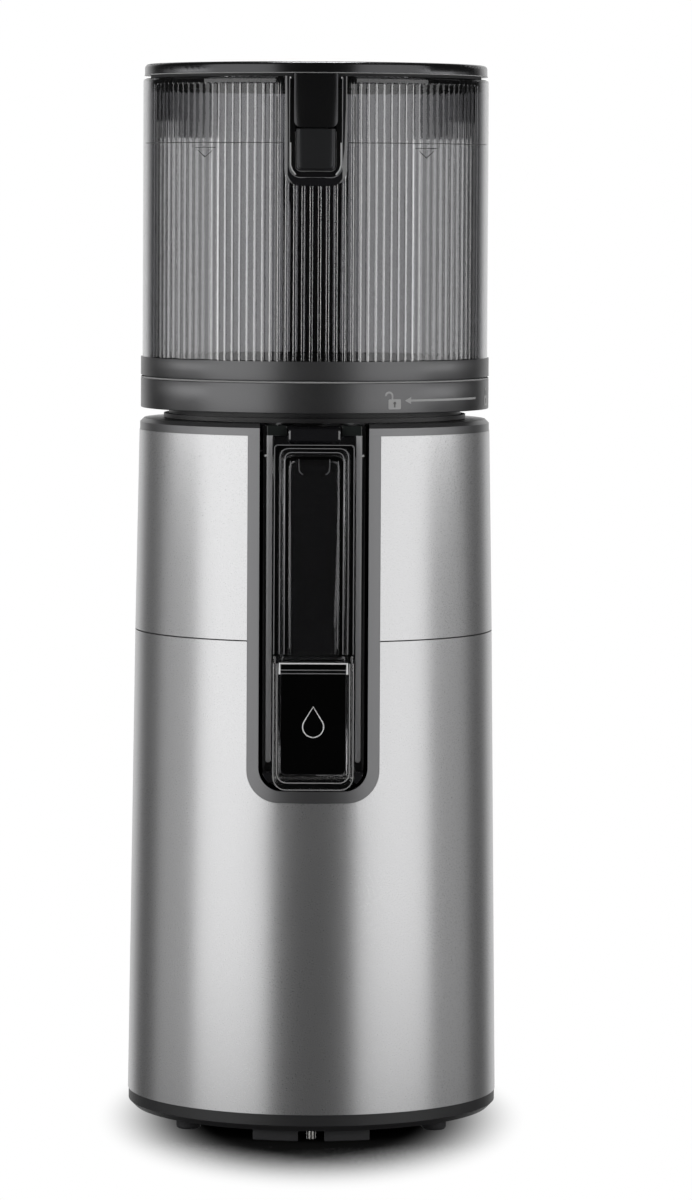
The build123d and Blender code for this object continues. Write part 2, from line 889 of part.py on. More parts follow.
strainer_z = chamber_floor_z
strainer_top_z = strainer_z + strainer_height
with BuildPart() as strainer:
    revolve(
        ring_section(
            (strainer_inner_radius, strainer_z),
            (strainer_foot_radius, strainer_z),
            (strainer_foot_radius, strainer_z + strainer_foot_height),
            (strainer_inner_radius + strainer_wall, strainer_z + strainer_foot_height),
            (strainer_inner_radius + strainer_wall, strainer_top_z),
            (strainer_inner_radius, strainer_top_z),
        ),
        axis=Axis.Z,
    )
    with BuildSketch(Plane.XY.offset(strainer_z + strainer_foot_height + slit_above_foot)):
        with PolarLocations(strainer_inner_radius + strainer_wall / 2, slit_count):
            Rectangle(3 * strainer_wall, slit_width)
    extrude(amount=slit_height, mode=Mode.SUBTRACT)
finish(strainer, "strainer")

auger_z = chamber_floor_z + drive_seal_flange + slip
auger_screw_top_z = strainer_top_z + auger_top_gap
head_top_z = auger_screw_top_z + head_height
with BuildPart() as auger:
    add(
        twisted_screw(
            auger_core_radius,
            auger_flight_radius,
            auger_flight_width,
            auger_z,
            auger_screw_top_z - auger_z,
            auger_twist,
            2,
        )
    )
    add(
        twisted_screw(
            head_core_radius,
            head_flight_radius,
            head_flight_width,
            auger_screw_top_z,
            head_height,
            head_twist,
            1,
        )
    )
    with BuildSketch(Plane.XY.offset(auger_z)):
        RegularPolygon(hex_across_flats / 2 + slip, 6, major_radius=False)
    extrude(amount=socket_depth, mode=Mode.SUBTRACT)
finish(auger, "auger")

with BuildPart() as cutter_blade:
    with BuildSketch(Plane.XY.offset(head_top_z)):
        SlotCenterToCenter(2 * blade_radius - blade_width, blade_width)
        Circle(blade_width)
    extrude(amount=blade_thickness)
finish(cutter_blade, "cutter_blade")

# ================================================================ chamber front, spout cover and hook
with BuildPart() as cap_pin:
    add(rod(cap_pin_radius, (-cap_pin_half_width, -cap_pivot_y, cap_pivot_z), 2 * cap_pin_half_width, "X"))
finish(cap_pin, "cap_pin")

with BuildPart() as chamber_front:
    add(slab(front_block_half_width, -front_block_y, 0, chamber_z, hook_top_z))
    add(slab(mouth_half_width, -mouth_y, 0, mouth_z, cover_z - slip))
    for side in (-1, 1):
        x0, x1 = sorted((side * (cap_half_width + slip), side * front_block_half_width))
        ear_z = (cap_pivot_z - cap_ear_radius, cap_pivot_z + cap_ear_radius)
        add(block(x0, x1, -cap_pivot_y, -front_block_y, *ear_z))
        add(rod(cap_ear_radius, (x0, -cap_pivot_y, cap_pivot_z), x1 - x0, "X"))
    extrude(
        channel_outline(
            front_block_half_width, front_block_z, hook_top_z + past, channel_corner - front_block_gap
        ),
        amount=2 * shell_base_radius,
        mode=Mode.INTERSECT,
    )
    for side in (-1, 1):
        with Locations((side * detent_x, -front_block_y, body_top_z - detent_drop)):
            Sphere(detent_radius)
    add(cap_pin.part, mode=Mode.SUBTRACT)
    add(
        rod(chamber_radius + seat, (0, 0, chamber_z - past), hook_top_z - chamber_z + 2 * past),
        mode=Mode.SUBTRACT,
    )
    add(
        slab(outlet_width / 2, -2 * chamber_radius, 0, outlet_z, outlet_z + outlet_height),
        mode=Mode.SUBTRACT,
    )
finish(chamber_front, "chamber_front")

def cover_outline(half_width, top_z):
    """Upright outline with a flat foot and two rounded upper corners."""
    with BuildSketch(Plane.XZ) as outline:
        with BuildLine():
            side = FilletPolyline(
                (half_width, cover_z),
                (half_width, top_z),
                (-half_width, top_z),
                (-half_width, cover_z),
                radius=cover_corner,
            )
            Line(side @ 0, side @ 1)
        make_face()
    return outline.sketch


with BuildPart() as spout_cover:
    extrude(cover_outline(cover_half_width, cover_top_z), amount=cover_y)
    extrude(
        cover_outline(cover_half_width - cover_wall, cover_top_z - cover_wall),
        amount=cover_y - cover_wall,
        mode=Mode.SUBTRACT,
    )
    extrude(cover_outline(duct_half_width, cover_top_z - 2 * cover_wall), amount=cover_y - cover_wall)
    extrude(
        cover_outline(duct_half_width - duct_wall, cover_top_z - 2 * cover_wall - duct_wall),
        amount=cover_y - cover_wall,
        mode=Mode.SUBTRACT,
    )
    add(
        slab(2 * cover_half_width, -front_block_y, 0, cover_z - cover_wall, cover_top_z + cover_wall),
        mode=Mode.SUBTRACT,
    )
finish(spout_cover, "spout_cover")

rail_z = channel_floor_z + rail_bottom_above_floor
rail_top_z = body_top_z - seam
with BuildPart() as guide_rails:
    for side in (-1, 1):
        x0, x1 = sorted((side * rail_inner, side * (rail_inner + rail_width)))
        add(block(x0, x1, -front_block_y - rail_depth, -front_block_y, rail_z + rail_width / 2, rail_top_z))
        add(
            rod(
                rail_width / 2, ((x0 + x1) / 2, -front_block_y - rail_depth, rail_z + rail_width / 2),
                rail_depth, "Y",
            ),
        )
        x0, x1 = sorted((side * rail_arm_inner, side * (rail_inner + rail_width)))
        add(
            block(
                x0, x1, -front_block_y - rail_depth, -front_block_y, rail_top_z - rail_arm_height,
                rail_top_z,
            ),
        )
finish(guide_rails, "guide_rails")

with BuildPart() as hook_block:
    with BuildSketch(Plane.YZ):
        with BuildLine():
            nose = FilletPolyline(
                (-front_block_y, hook_z),
                (-hook_y, hook_z),
                (-hook_y, hook_top_z),
                (-front_block_y, hook_top_z),
                radius=hook_edge,
            )
            Line(nose @ 0, nose @ 1)
        make_face()
    extrude(amount=hook_half_width, both=True)
finish(hook_block, "hook_block")

# ================================================================ juice cap
with BuildPart() as juice_cap:
    extrude(channel_outline(cap_half_width, cap_z, cap_top_z, cap_corner), amount=cap_front_y)
    extrude(
        channel_outline(cap_half_width - cap_wall, cap_z + cap_wall, cap_top_z + past, cap_inner_corner),
        amount=cap_front_y - cap_front_wall,
        mode=Mode.SUBTRACT,
    )
    add(
        slab(2 * cap_half_width, -cap_back_y, 0, cap_z - cap_wall, cap_top_z + cap_wall),
        mode=Mode.SUBTRACT,
    )
    lower_front = juice_cap.edges().group_by(Axis.Y)[0].sort_by(Axis.Z)[0]
    fillet(lower_front, cap_lower_edge)
    add(
        rod(
            cap_pin_radius + running, (-2 * cap_half_width, -cap_pivot_y, cap_pivot_z),
            4 * cap_half_width, "X",
        ),
        mode=Mode.SUBTRACT,
    )
finish(juice_cap, "juice_cap")

seal_z = cap_z + seal_bottom_above_cap
seal_front_y = cap_front_y - cap_front_wall
with BuildPart() as juice_seal:
    extrude(
        channel_outline(seal_half_width, seal_z, cap_top_z - lip_bar_drop, seal_corner),
        amount=seal_front_y,
    )
    add(slab(2 * seal_half_width, -seal_front_y + seal_thickness, 0, seal_z, cap_top_z), mode=Mode.SUBTRACT)
    add(
        slab(
            outlet_width / 2 + seal_lip, -seal_front_y + seal_thickness, -mouth_y - slip,
            outlet_z - seal_lip, outlet_z + outlet_height + seal_lip,
        ),
    )
finish(juice_seal, "juice_seal")

# ================================================================ hopper
with BuildPart() as hopper_collar:
    revolve(tube_section(collar_radius - collar_wall, collar_radius, collar_z, groove_z), axis=Axis.Z)
    for lug in range(lug_count):
        lug_body = Solid.revolve(
            tube_section(collar_lug_inner, collar_radius - collar_wall / 2, collar_z, lug_z - slip).face(),
            lug_span,
            Axis.Z,
        )
        add(Rot(0, 0, lug_angle - lug_span / 2 + lug * 360 / lug_count) * lug_body)
finish(hopper_collar, "hopper_collar")

wall_foot_z = hopper_ring_z + ring_flange_thickness
with BuildPart() as hopper_ring:
    revolve(
        ring_section(
            (spigot_radius, groove_z),
            (groove_radius, groove_z),
            (groove_radius, hopper_ring_z),
            (collar_radius, hopper_ring_z),
            (collar_radius, hopper_ring_top_z),
            (wall_foot_radius + seat, hopper_ring_top_z),
            (wall_foot_radius + seat, wall_foot_z),
            (ring_flange_inner, wall_foot_z),
            (ring_flange_inner, hopper_ring_z),
            (spigot_radius, hopper_ring_z),
        ),
        axis=Axis.Z,
    )
    add(
        rod(rod_radius + slip, (0, rod_y, groove_z - past), hopper_ring_top_z - groove_z + past),
        mode=Mode.SUBTRACT,
    )
finish(hopper_ring, "hopper_ring")

rib_top_z = wall_top_z - rib_top_gap
with BuildPart() as hopper_wall:
    revolve(
        ring_section(
            (wall_inner_radius, wall_foot_z),
            (wall_foot_radius, wall_foot_z),
            (wall_foot_radius, hopper_ring_top_z),
            (wall_radius, hopper_ring_top_z),
            (wall_radius, wall_top_z - lid_gap),
            (wall_radius - lid_gap, wall_top_z),
            (wall_inner_radius, wall_top_z),
        ),
        axis=Axis.Z,
    )
    rib_half_turn = 180 * rib_width / 2 / (pi * wall_radius)
    rib_points = []
    for rib in range(rib_count):
        for turn, depth in ((-rib_half_turn, rib_depth), (0, 0), (rib_half_turn, rib_depth)):
            angle = radians(360 * rib / rib_count + turn)
            radius = wall_radius - depth
            rib_points.append((radius * cos(angle), radius * sin(angle)))
    with BuildSketch(Plane.XY.offset(hopper_ring_top_z)):
        Circle(2 * wall_radius)
        with BuildLine():
            Polyline(*rib_points, close=True)
        make_face(mode=Mode.SUBTRACT)
    extrude(amount=rib_top_z - hopper_ring_top_z, mode=Mode.SUBTRACT)
    extrude(
        channel_outline(frame_half_width + seat, frame_z - seat, lid_z, frame_corner + seat),
        amount=2 * wall_radius,
        mode=Mode.SUBTRACT,
    )
    add(
        slab(
            ear_outer_half_width + seat, column_front_y, 2 * wall_radius,
            wall_top_z - bracket_top_drop - bracket_thickness - seat, lid_z,
        ),
        mode=Mode.SUBTRACT,
    )
finish(hopper_wall, "hopper_wall")

with BuildPart() as feed_funnel:
    revolve(
        ring_section(
            (funnel_inner_radius, wall_foot_z),
            (funnel_outer_radius, wall_foot_z),
            (funnel_outer_radius, wall_foot_z + funnel_height),
            (funnel_outer_radius - funnel_edge, wall_foot_z + funnel_height),
            (funnel_inner_radius, wall_foot_z + funnel_lip),
        ),
        axis=Axis.Z,
    )
    add(rod(rod_radius + slip, (0, rod_y, wall_foot_z - past), funnel_height + 2 * past), mode=Mode.SUBTRACT)
finish(feed_funnel, "feed_funnel")

# rear column: a hollow post inside the wall, with the lid's hinge ears above it
column_z = wall_foot_z + funnel_height
column_top_z = wall_top_z - column_top_drop
bracket_top_z = wall_top_z - bracket_top_drop
bracket_z = bracket_top_z - bracket_thickness
spring_z = column_z + 2 * rod_spring_height
with BuildPart() as rear_column:
    add(slab(column_half_width, column_front_y, lid_seal_radius, column_z, bracket_z))
    add(rod(lid_seal_radius, (0, 0, column_z - past), bracket_z - column_z + 2 * past), mode=Mode.INTERSECT)
    add(slab(ear_outer_half_width, column_front_y, pivot_y + ear_radius, bracket_z, column_top_z))
    for side in (-1, 1):
        x0, x1 = sorted((side * (knuckle_half_width + slip), side * ear_outer_half_width))
        add(block(x0, x1, pivot_y - ear_radius, pivot_y + ear_radius, column_top_z, pivot_z))
        add(rod(ear_radius, (x0, pivot_y, pivot_z), x1 - x0, "X"))
    add(
        rod(hinge_pin_radius, (-ear_outer_half_width, pivot_y, pivot_z), 2 * ear_outer_half_width, "X"),
        mode=Mode.SUBTRACT,
    )
    add(
        rod(rod_radius + slip, (0, rod_y, column_z - past), column_top_z - column_z + 2 * past),
        mode=Mode.SUBTRACT,
    )
    add(
        rod(
            rod_spring_bore, (0, rod_y, spring_z),
            rod_spring_height + rod_collar_height + rod_spring_radius,
        ),
        mode=Mode.SUBTRACT,
    )
finish(rear_column, "rear_column")

with BuildPart() as interlock_rod:
    rod_z = body_top_z + plunger_height + rod_foot_gap
    add(rod(rod_radius, (0, rod_y, rod_z), lid_z - slip - rod_z))
    add(rod(rod_collar_radius, (0, rod_y, spring_z + rod_spring_height), rod_collar_height))
finish(interlock_rod, "interlock_rod")

with BuildPart() as rod_spring:
    add(
        coil(
            rod_spring_radius,
            spring_wire_radius,
            rod_spring_height - 2 * spring_wire_radius - slip,
            rod_spring_turns,
            (0, rod_y, spring_z + spring_wire_radius + slip / 2),
            (0, 0, 1),
        )
    )
finish(rod_spring, "rod_spring")

with BuildPart() as hinge_pin:
    add(rod(hinge_pin_radius, (-ear_outer_half_width, pivot_y, pivot_z), 2 * ear_outer_half_width, "X"))
finish(hinge_pin, "hinge_pin")

# ================================================================ latch
with BuildPart() as latch_frame:
    extrude(
        channel_outline(frame_half_width, frame_z, wall_top_z, frame_corner),
        amount=2 * wall_radius,
    )
    add(rod(frame_radius, (0, 0, frame_z - past), frame_height + 2 * past), mode=Mode.INTERSECT)
    add(rod(frame_back_radius, (0, 0, frame_z - past), frame_height + 2 * past), mode=Mode.SUBTRACT)
    add(
        rod(lid_seal_radius + slip, (0, 0, lid_z - lid_seal_height - slip), lid_seal_height + past),
        mode=Mode.SUBTRACT,
    )
    with BuildPart(mode=Mode.PRIVATE) as pocket:
        extrude(
            channel_outline(pocket_half_width, pocket_z, lid_z, pocket_corner),
            amount=2 * wall_radius,
        )
        add(
            rod(pocket_radius, (0, 0, pocket_z - past), pocket_height + lid_gap + 2 * past),
            mode=Mode.SUBTRACT,
        )
    add(pocket.part, mode=Mode.SUBTRACT)
    with BuildPart(mode=Mode.PRIVATE) as button_pocket:
        extrude(
            channel_outline(
                button_half_width + button_flange + slip / 2,
                button_z - button_flange - slip / 2,
                tongue_z + catch_height + slip,
                button_corner,
            ),
            amount=pocket_radius + past,
        )
        add(rod(frame_back_radius + frame_back_wall, (0, 0, frame_z), frame_height), mode=Mode.SUBTRACT)
    add(button_pocket.part, mode=Mode.SUBTRACT)
finish(latch_frame, "latch_frame")

button_back_radius = button_radius - button_depth
with BuildPart() as release_button:
    extrude(
        channel_outline(button_half_width, button_z, button_z + button_height, button_corner),
        amount=2 * wall_radius,
    )
    add(rod(button_radius, (0, 0, frame_z), frame_height), mode=Mode.INTERSECT)
    with BuildPart(mode=Mode.PRIVATE) as flange:
        extrude(
            channel_outline(
                button_half_width + button_flange - slip / 2,
                button_z - button_flange + slip / 2,
                button_z + button_height,
                button_corner,
            ),
            amount=2 * wall_radius,
        )
        add(rod(button_flange_radius, (0, 0, frame_z), frame_height), mode=Mode.INTERSECT)
    add(flange.part)
    add(rod(button_back_radius, (0, 0, frame_z), frame_height), mode=Mode.SUBTRACT)
    add(
        slab(
            catch_half_width, -catch_front_radius, -catch_back_y, button_z + button_height - catch_root,
            tongue_z + catch_height,
        ),
    )
finish(release_button, "release_button")

button_spring_start = frame_back_radius + frame_back_wall
button_spring_length = button_back_radius - button_spring_start
with BuildPart() as button_spring:
    add(
        coil(
            button_spring_radius,
            spring_wire_radius,
            button_spring_length - 2 * spring_wire_radius - slip,
            button_spring_turns,
            (0, -button_spring_start - spring_wire_radius - slip / 2, button_z + button_height / 2),
            (0, -1, 0),
        )
    )
finish(button_spring, "button_spring")

# ================================================================ lid
with BuildPart() as lid_plate:
    with BuildSketch(Plane.XY.offset(lid_z)):
        Circle(lid_radius)
    extrude(amount=lid_thickness)
    fillet(lid_plate.faces().sort_by(Axis.Z)[-1].edges(), lid_edge)
    add(
        slab(
            knuckle_half_width, lid_radius - knuckle_radius, pivot_y + knuckle_radius, lid_z,
            lid_top_z - lid_edge,
        ),
    )
    add(slab(knuckle_half_width, pivot_y - knuckle_radius, pivot_y + knuckle_radius, pivot_z, lid_z))
    add(rod(knuckle_radius, (-knuckle_half_width, pivot_y, pivot_z), 2 * knuckle_half_width, "X"))
    add(
        rod(
            hinge_pin_radius + running, (-knuckle_half_width, pivot_y, pivot_z),
            2 * knuckle_half_width, "X",
        ),
        mode=Mode.SUBTRACT,
    )
finish(lid_plate, "lid_plate")

with BuildPart() as lid_tongue:
    extrude(channel_outline(tongue_half_width, tongue_z, lid_z, tongue_corner), amount=2 * wall_radius)
    add(rod(tongue_radius, (0, 0, frame_z), lid_top_z - frame_z), mode=Mode.INTERSECT)
    add(rod(tongue_radius - tongue_thickness, (0, 0, frame_z), lid_top_z - frame_z), mode=Mode.SUBTRACT)
finish(lid_tongue, "lid_tongue")

with BuildPart() as lid_seal:
    revolve(
        tube_section(lid_seal_radius - lid_seal_wall, lid_seal_radius, lid_z - lid_seal_height, lid_z),
        axis=Axis.Z,
    )
finish(lid_seal, "lid_seal")

# ================================================================ gearbox and drive
with BuildPart() as gearbox_housing:
    revolve(
        ring_section(
            (motor_bearing_radius, housing_z),
            (housing_radius, housing_z),
            (housing_radius, cover_plate_z),
            (housing_radius - housing_wall, cover_plate_z),
            (housing_radius - housing_wall, housing_z + housing_floor),
            (motor_bearing_radius, housing_z + housing_floor),
        ),
        axis=Axis.Z,
    )
    add(
        rod(
            lay_bearing_radius + seat,
            (centre_distance, 0, housing_z + housing_floor - bearing_height), bearing_height,
        ),
        mode=Mode.SUBTRACT,
    )
finish(gearbox_housing, "gearbox_housing")

with BuildPart() as gearbox_cover:
    revolve(
        tube_section(output_bearing_radius + seat, housing_radius, cover_plate_z, cover_plate_top_z),
        axis=Axis.Z,
    )
    add(
        rod(lay_bearing_radius + seat, (centre_distance, 0, cover_plate_z), bearing_height),
        mode=Mode.SUBTRACT,
    )
finish(gearbox_cover, "gearbox_cover")

with BuildPart() as bearings:
    revolve(
        tube_section(drive_shaft_radius + running, output_bearing_radius, cover_plate_z, cover_plate_top_z),
        axis=Axis.Z,
    )
    revolve(
        tube_section(
            motor_shaft_radius + running,
            motor_bearing_radius - seat,
            housing_z,
            housing_z + housing_floor,
        ),
        axis=Axis.Z,
    )
    revolve(
        tube_section(
            motor_shaft_radius + running,
            motor_bearing_radius - seat,
            motor_z,
            motor_z + motor_end,
        ),
        axis=Axis.Z,
    )
    for bearing_z in (housing_z + housing_floor - bearing_height, cover_plate_z):
        with BuildSketch(Plane.XY.offset(bearing_z)):
            with Locations((centre_distance, 0)):
                Circle(lay_bearing_radius)
                Circle(lay_shaft_radius + running, mode=Mode.SUBTRACT)
        extrude(amount=bearing_height)
finish(bearings, "bearings")

drive_shaft_z = output_gear_z
drive_hex_z = well_floor_z + well_floor + chamber_lift / 2
drive_shaft_top_z = auger_z + socket_depth - slip
with BuildPart() as drive_shaft:
    add(rod(drive_shaft_radius, (0, 0, drive_shaft_z), drive_hex_z - drive_shaft_z))
    with BuildSketch(Plane.XY.offset(drive_hex_z)):
        RegularPolygon(hex_across_flats / 2, 6, major_radius=False)
    extrude(amount=drive_shaft_top_z - drive_hex_z)
finish(drive_shaft, "drive_shaft")

with BuildPart() as output_gear:
    add(spur_gear(output_gear_teeth, gear_width, output_gear_z, 0, drive_shaft_radius, 0))
finish(output_gear, "output_gear")

lay_pinion_phase = 180 + 180 / lay_pinion_teeth
lay_gear_phase = 180 + 180 / lay_gear_teeth
with BuildPart() as lay_pinion:
    add(
        spur_gear(
            lay_pinion_teeth, gear_width + gear_air, output_gear_z - gear_air, centre_distance,
            lay_shaft_radius, lay_pinion_phase,
        )
    )
finish(lay_pinion, "lay_pinion")

with BuildPart() as lay_gear:
    add(
        spur_gear(
            lay_gear_teeth, lay_gear_width, lay_gear_z, centre_distance, lay_shaft_radius, lay_gear_phase
        )
    )
finish(lay_gear, "lay_gear")

with BuildPart() as lay_shaft:
    lay_shaft_z = housing_z + housing_floor - bearing_height + slip
    add(
        rod(
            lay_shaft_radius, (centre_distance, 0, lay_shaft_z),
            cover_plate_z + bearing_height - slip - lay_shaft_z,
        ),
    )
finish(lay_shaft, "lay_shaft")

with BuildPart() as motor_pinion:
    add(spur_gear(motor_pinion_teeth, lay_gear_width, lay_gear_z, 0, motor_shaft_radius, 0))
finish(motor_pinion, "motor_pinion")

with BuildPart() as motor_shaft:
    add(rod(motor_shaft_radius, (0, 0, fan_z), lay_gear_z + lay_gear_width + slip - fan_z))
finish(motor_shaft, "motor_shaft")

stator_z = motor_z + (motor_height - stator_length) / 2
with BuildPart() as rotor:
    revolve(
        tube_section(motor_shaft_radius, rotor_radius, stator_z, stator_z + stator_length),
        axis=Axis.Z,
    )
finish(rotor, "rotor")

with BuildPart() as stator:
    revolve(
        tube_section(
            stator_inner_radius,
            motor_radius - motor_wall - stator_outer_gap,
            stator_z,
            stator_z + stator_length,
        ),
        axis=Axis.Z,
    )
    with BuildSketch(Plane.XY.offset(stator_z)):
        with PolarLocations(stator_inner_radius + slot_depth / 2 - slot_overrun, stator_slots):
            Rectangle(slot_depth, slot_width)
    extrude(amount=stator_length, mode=Mode.SUBTRACT)
finish(stator, "stator")

with BuildPart() as motor_can:
    revolve(
        ring_section(
            (motor_bearing_radius, motor_z),
            (motor_radius, motor_z),
            (motor_radius, motor_top_z),
            (motor_bearing_radius, motor_top_z),
            (motor_bearing_radius, motor_top_z - motor_end),
            (motor_radius - motor_wall, motor_top_z - motor_end),
            (motor_radius - motor_wall, motor_z + motor_end),
            (motor_bearing_radius, motor_z + motor_end),
        ),
        axis=Axis.Z,
    )
finish(motor_can, "motor_can")

with BuildPart() as cooling_fan:
    with BuildSketch(Plane.XY.offset(fan_z)):
        Circle(fan_hub_radius)
        with PolarLocations((fan_hub_radius + fan_radius) / 2, fan_blades):
            Rectangle(fan_radius - fan_hub_radius + 2 * past, fan_blade_thickness)
        Circle(motor_shaft_radius, mode=Mode.SUBTRACT)
    extrude(amount=fan_height)
finish(cooling_fan, "cooling_fan")

# ================================================================ control board, switch and cord inlet
board_y = column_offset + column_radius + seat
board_back_y = board_y + board_thickness
board_half_width = column_offset + board_past_column
with BuildPart() as control_board:
    add(slab(board_half_width, board_y, board_back_y, board_z, board_z + board_height))
    with BuildSketch(Plane.XZ.offset(-board_back_y - chip_height)):
        with Locations((relay_x, board_z + board_height - chip_drop)):
            Rectangle(chip_width, chip_width)
        with Locations((-relay_x, board_z + board_height - chip_drop)):
            Rectangle(chip_width, chip_width)
        with Locations((0, board_z + board_height - chip_drop)):
            Circle(capacitor_radius)
    extrude(amount=chip_height)
finish(control_board, "control_board")

switch_front_y = sqrt(shell_radius(switch_centre_z) ** 2 - switch_half_width**2) - switch_inset
with BuildPart() as switch_frame:
    add(
        slab(
            switch_half_width, switch_front_y - switch_depth, switch_front_y,
            switch_centre_z - switch_height / 2, switch_centre_z + switch_height / 2,
        ),
    )
    add(
        slab(
            switch_half_width - switch_wall, switch_front_y - switch_depth + switch_wall,
            switch_front_y, switch_centre_z - switch_height / 2 + switch_wall,
            switch_centre_z + switch_height / 2 - switch_wall,
        ),
        mode=Mode.SUBTRACT,
    )
    rocker_pivot_y = switch_front_y - rocker_nose
    add(
        rod(
            rocker_pin_radius + running, (-switch_half_width, rocker_pivot_y, switch_centre_z),
            2 * switch_half_width, "X",
        ),
        mode=Mode.SUBTRACT,
    )
finish(switch_frame, "switch_frame")

rocker_radius = switch_height / 2 - switch_wall - rocker_air
with BuildPart() as rocker:
    with BuildSketch(Plane.YZ):
        with Locations((rocker_pivot_y, switch_centre_z)):
            Circle(rocker_radius)
        with Locations((rocker_pivot_y - rocker_back, switch_centre_z)):
            Rectangle(rocker_back, switch_height, mode=Mode.SUBTRACT)
    extrude(amount=switch_half_width - switch_wall - rocker_gap, both=True)
    add(
        rod(
            rocker_pin_radius, (-switch_half_width, rocker_pivot_y, switch_centre_z),
            2 * switch_half_width, "X",
        ),
    )
finish(rocker, "rocker")

inlet_outer_y = shell_radius(inlet_centre_z) - inlet_sink
inlet_inner_y = inlet_outer_y - inlet_length
with BuildPart() as cord_inlet:
    add(rod(inlet_outer_radius, (0, inlet_inner_y, inlet_centre_z), inlet_outer_y - inlet_inner_y, "Y"))
    add(
        rod(
            inlet_flange_radius,
            (0, inlet_outer_y + inlet_sink - shell_wall - inlet_flange - past, inlet_centre_z),
            inlet_flange, "Y",
        ),
    )
    add(
        rod(inlet_bore_radius, (0, inlet_inner_y - past, inlet_centre_z), inlet_length + 2 * past, "Y"),
        mode=Mode.SUBTRACT,
    )
finish(cord_inlet, "cord_inlet")
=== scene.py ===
"""Cold press juicer: rounded edges, fluted hopper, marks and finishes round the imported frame.

Metres, +Z up, the juice cap and the lid's latch face -Y.
"""
import json
import math

import bmesh
import bpy
from mathutils import Matrix, Vector


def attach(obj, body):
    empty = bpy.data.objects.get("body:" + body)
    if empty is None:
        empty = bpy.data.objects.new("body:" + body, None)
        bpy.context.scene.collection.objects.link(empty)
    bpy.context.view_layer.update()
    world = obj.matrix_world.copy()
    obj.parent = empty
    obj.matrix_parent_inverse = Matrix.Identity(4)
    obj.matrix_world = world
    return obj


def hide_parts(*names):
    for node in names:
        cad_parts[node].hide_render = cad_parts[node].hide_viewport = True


MM = 0.001
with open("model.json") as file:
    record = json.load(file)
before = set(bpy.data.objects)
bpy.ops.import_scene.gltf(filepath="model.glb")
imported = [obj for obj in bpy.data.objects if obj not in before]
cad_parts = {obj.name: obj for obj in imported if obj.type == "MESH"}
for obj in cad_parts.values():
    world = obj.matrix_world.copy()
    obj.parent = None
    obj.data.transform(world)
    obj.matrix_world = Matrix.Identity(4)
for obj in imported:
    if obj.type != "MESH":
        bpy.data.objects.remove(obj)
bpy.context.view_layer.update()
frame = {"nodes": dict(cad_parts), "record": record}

# ---------------------------------------------------------------- sizes shared by the pieces
WALL_RADIUS = 72.4 * MM
WALL_INNER_RADIUS = 70.0 * MM
WALL_FOOT_RADIUS = 71.1 * MM
RIB_COUNT = 135
RIB_WIDTH = 1.4 * MM
RIB_EDGE = 0.38 * MM
RIB_DEPTH = 0.22 * MM
SMOOTH_FROM = 0.93
RING_TOP = 320.0 * MM
WALL_TOP = 436.0 * MM
WALL_FOOT = 314.3 * MM
RIB_TOP = 433.0 * MM
FILL_LINE = 409.0 * MM
COLLAR_RADIUS = 73.0 * MM


# ---------------------------------------------------------------- shader writing
class Value:
    """A shader socket that answers to Python's operators with Math nodes."""

    def __init__(self, recipe, socket):
        self.recipe = recipe
        self.socket = socket

    def maths(self, operation, *values, clamp=False):
        settings = {"operation": operation, "use_clamp": clamp}
        return self.recipe.add("ShaderNodeMath", settings, dict(enumerate(values)))

    def __add__(self, other):
        return self.maths("ADD", self, other)

    __radd__ = __add__

    def __sub__(self, other):
        return self.maths("SUBTRACT", self, other)

    def __rsub__(self, other):
        return self.maths("SUBTRACT", other, self)

    def __mul__(self, other):
        return self.maths("MULTIPLY", self, other)

    __rmul__ = __mul__

    def __truediv__(self, other):
        return self.maths("DIVIDE", self, other)

    def __pow__(self, other):
        return self.maths("POWER", self, other)

    def clamped(self):
        return self.maths("ADD", self, 0, clamp=True)


class Recipe:
    """A material or world being written: its nodes and the shader they feed."""

    def __init__(self, owner, shader=None):
        self.owner = owner
        owner.use_nodes = True
        self.nodes = owner.node_tree.nodes
        self.links = owner.node_tree.links
        self.shader = self.nodes.get(shader) if shader else None

    def plug(self, socket, value):
        if isinstance(value, Value):
            self.links.new(value.socket, socket)
        elif isinstance(value, tuple) and len(value) == 3 and socket.type == "RGBA":
            socket.default_value = (*value, 1)
        else:
            socket.default_value = value

    def add(self, kind, settings=None, inputs=None, output=0):
        """Any node: its kind, the settings that are set first, its inputs, and the output wanted."""
        node = self.nodes.new(kind)
        for name, setting in (settings or {}).items():
            setattr(node, name, setting)
        for name, value in (inputs or {}).items():
            self.plug(node.inputs[name], value)
        return Value(self, node.outputs[output])

    def shade(self, **values):
        for name, value in values.items():
            self.plug(self.shader.inputs[name.replace("_", " ")], value)

    def place(self):
        return self.add("ShaderNodeTexCoord", output="Object")

    def along(self, axis):
        parts = self.add("ShaderNodeSeparateXYZ", None, {0: self.place()}).socket.node
        return Value(self, parts.outputs[axis])

    def grain(self, size, detail=2.0, roughness=0.5):
        inputs = {"Vector": self.place(), "Scale": 1 / size, "Detail": detail, "Roughness": roughness}
        return self.add("ShaderNodeTexNoise", None, inputs, output="Fac")

    def cells(self, size, feature="F1"):
        inputs = {"Vector": self.place(), "Scale": 1 / size}
        return self.add("ShaderNodeTexVoronoi", {"feature": feature}, inputs, output="Distance")

    def blend(self, factor, low, high):
        settings = {"data_type": "RGBA", "blend_type": "MIX", "clamp_factor": True}
        node = self.add("ShaderNodeMix", settings).socket.node
        self.plug(node.inputs[0], factor)
        self.plug(node.inputs[6], low)
        self.plug(node.inputs[7], high)
        return Value(self, node.outputs[2])

    def bump(self, height, depth):
        inputs = {"Height": height, "Strength": 1.0, "Distance": depth}
        return self.add("ShaderNodeBump", None, inputs, "Normal")


def material(name):
    return Recipe(bpy.data.materials.new(name), "Principled BSDF")


